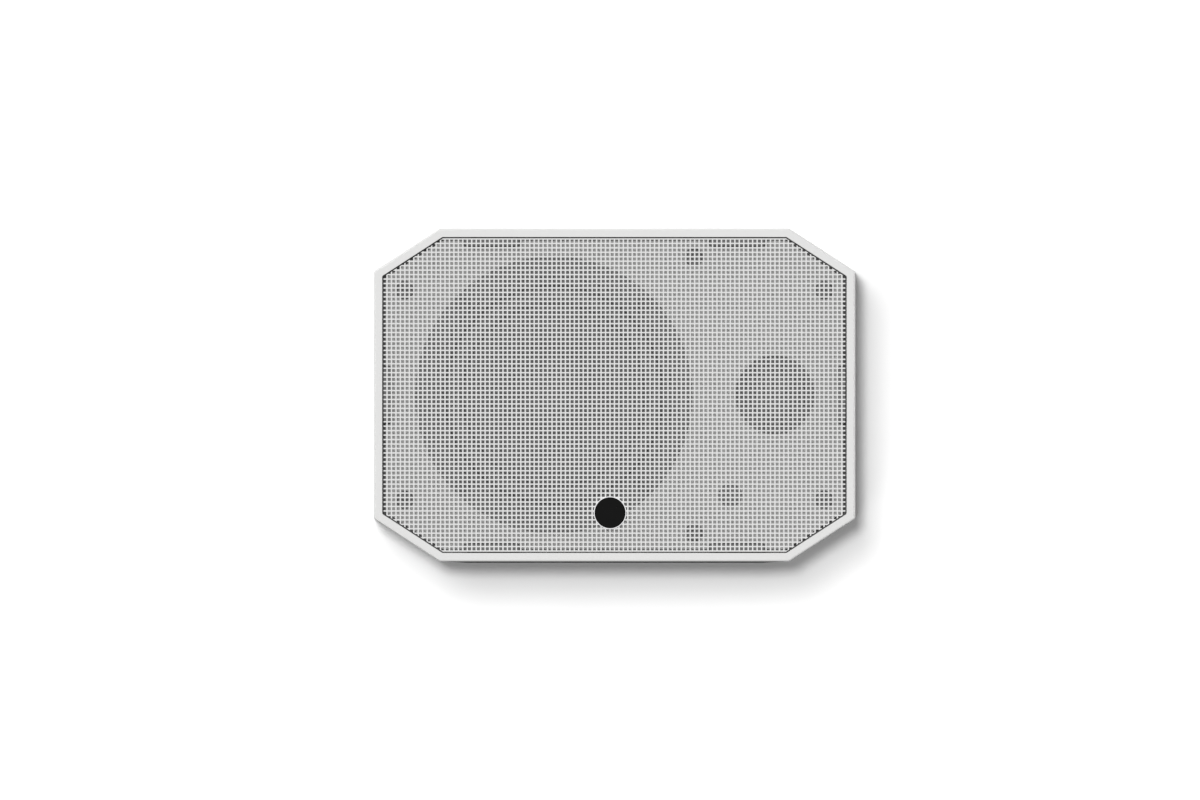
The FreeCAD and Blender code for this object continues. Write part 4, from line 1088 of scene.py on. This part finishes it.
# %% Bending metal
def bending_copy(name, node, material, body, other_body, start, end):
    """Copy of a CAD node that bends from one body to another between two points."""
    mesh = nodes[node].data.copy()
    shape = merged(mesh)
    shape.to_mesh(mesh)
    shape.free()
    mesh.materials.clear()
    mesh.materials.append(material)
    piece = show(name, mesh)
    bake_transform(piece, body, other_body, start, end)
    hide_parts(node)
    print(name, len(mesh.polygons), "faces")


cone_hold, tag_hold, leaf_hold = 6.0 * mm, 4.0 * mm, 0.5 * mm
lead_low, lead_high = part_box("tinsel_leads")
bending_copy("braided_leads", "tinsel_leads", copper_wire, "woofer_diaphragm", "cabinet",
             (lead_low.x + cone_hold, 0, 0), (lead_high.x - tag_hold, 0, 0))
for colour in ("red", "black"):
    leaf_low, leaf_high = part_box(colour + "_lever_spring")
    bending_copy(colour + "_leaf_spring", colour + "_lever_spring", spring_steel, "cabinet",
                 colour + "_push_lever", (0, leaf_low.y + leaf_hold, 0), (0, leaf_high.y, 0))

# %% [markdown]
# ## Wadding
# A pad of polyester wadding behind the woofer soaks up the sound inside the box. It is a soft block with a
# crowned face and a tufted surface.
# A cloth simulation would swell it in the same way, but the pad is out of sight, so rounding the sides of a
# fine box and pushing its points about with noise is enough.

# %% Wadding pad
pad_cuts, pad_share, pad_gap = 18, 0.97, 0.05 * mm
crown, waist = 0.16, 0.05
tufts = ((130, 0.9 * mm), (420, 0.4 * mm))
tuft_limit = 0.3 * mm
pad_low, pad_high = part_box("damping_pad")
pad_half = (pad_high - pad_low) / 2
pad_middle = middle_of("damping_pad")
shape = bmesh.new()
bmesh.ops.create_cube(shape, size=2.0)
bmesh.ops.subdivide_edges(shape, edges=shape.edges, cuts=pad_cuts, use_grid_fill=True)
for vertex in shape.verts:
    u, v, w = vertex.co
    bulge = (1 - crown * u ** 4) * (1 - crown * w ** 4)
    side = 1 - waist * v * v
    spread = Vector((u * side * pad_half.x, v * bulge * pad_half.y, w * side * pad_half.z))
    tuft = sum(noise.noise(spread * scale) * height for scale, height in tufts)
    vertex.co = pad_middle + spread * pad_share + spread.normalized() * min(tuft, tuft_limit)
    vertex.co.y = min(vertex.co.y, pad_high.y - pad_gap)
pad_mesh = bpy.data.meshes.new("wadding_pad")
shape.to_mesh(pad_mesh)
shape.free()
pad_mesh.shade_smooth()
pad_mesh.materials.append(wadding)
pad = show("wadding_pad", pad_mesh)
fix_to_cabinet(pad, "damping_pad")
print("pad", len(pad_mesh.polygons), "faces")

# %% [markdown]
# ## Lever grips
# The two terminal levers are pressed with a thumb, and fine ribs across them give it a hold.
# They repeat along a sloping face, so a tree sets short round bars along a line, one step after another.

# %% Grip tree
grip, given, result = new_tree(
    "grip_ribs", "GeometryNodeTree", "Ribs", "Geometry", Base="Geometry", Ribs=6, Start=(0, 0, 0),
    Step=(0, 0, 1.0 * mm), Width=10.0 * mm, Radius=0.4 * mm, Finish="Material")
row = node_of(
    grip, "GeometryNodeMeshLine", mode="OFFSET", Count=given["Ribs"], Start_Location=given["Start"],
    Offset=given["Step"])
bar = node_of(grip, "GeometryNodeMeshCylinder", Vertices=12, Radius=given["Radius"], Depth=given["Width"])
lying = node_of(
    grip, "GeometryNodeTransform", Geometry=bar.outputs["Mesh"], Rotation=(0, math.radians(90), 0))
placed = node_of(grip, "GeometryNodeInstanceOnPoints", Points=row.outputs[0], Instance=lying.outputs[0])
coat(grip, placed.outputs[0], given["Finish"], result)

# %% Grip ribs
rib_count, rib_radius, rib_margin, rib_pitch = 6, 0.45 * mm, 1.0 * mm, 1.0 * mm
first_rib = Vector((0, 4.30 * mm, 6.0 * mm))
lever_slope = Vector((0, 4.1, 11.0))
rib_step = lever_slope * (rib_pitch / lever_slope.z)
for colour, material in (("red", red_plastic), ("black", black_plastic)):
    lever_low, lever_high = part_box(colour + "_lever")
    middle_x = (lever_low.x + lever_high.x) / 2
    lever_joint = next(joint for joint in frame["joints"] if joint["child"] == colour + "_push_lever")
    hinge = Vector(lever_joint["pos_m"])
    start = Vector((middle_x, hinge.y + first_rib.y, hinge.z + first_rib.z))
    ribs = add_piece(colour + "_grip_ribs", [start])
    grow(ribs, grip, Ribs=rib_count, Start=start, Step=rib_step, Radius=rib_radius, Finish=material,
         Width=lever_high.x - lever_low.x - 2 * rib_margin)
    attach(ribs, colour + "_push_lever")

# %% [markdown]
# ## The size at the end
# The dressed loudspeaker must fill the same box as the engineering model, so its box is printed here, as the
# engineering model's box was printed at the start.

# %% Finish
low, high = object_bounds()
print("visual box:", [round(v, 4) for v in (*low, *high)])
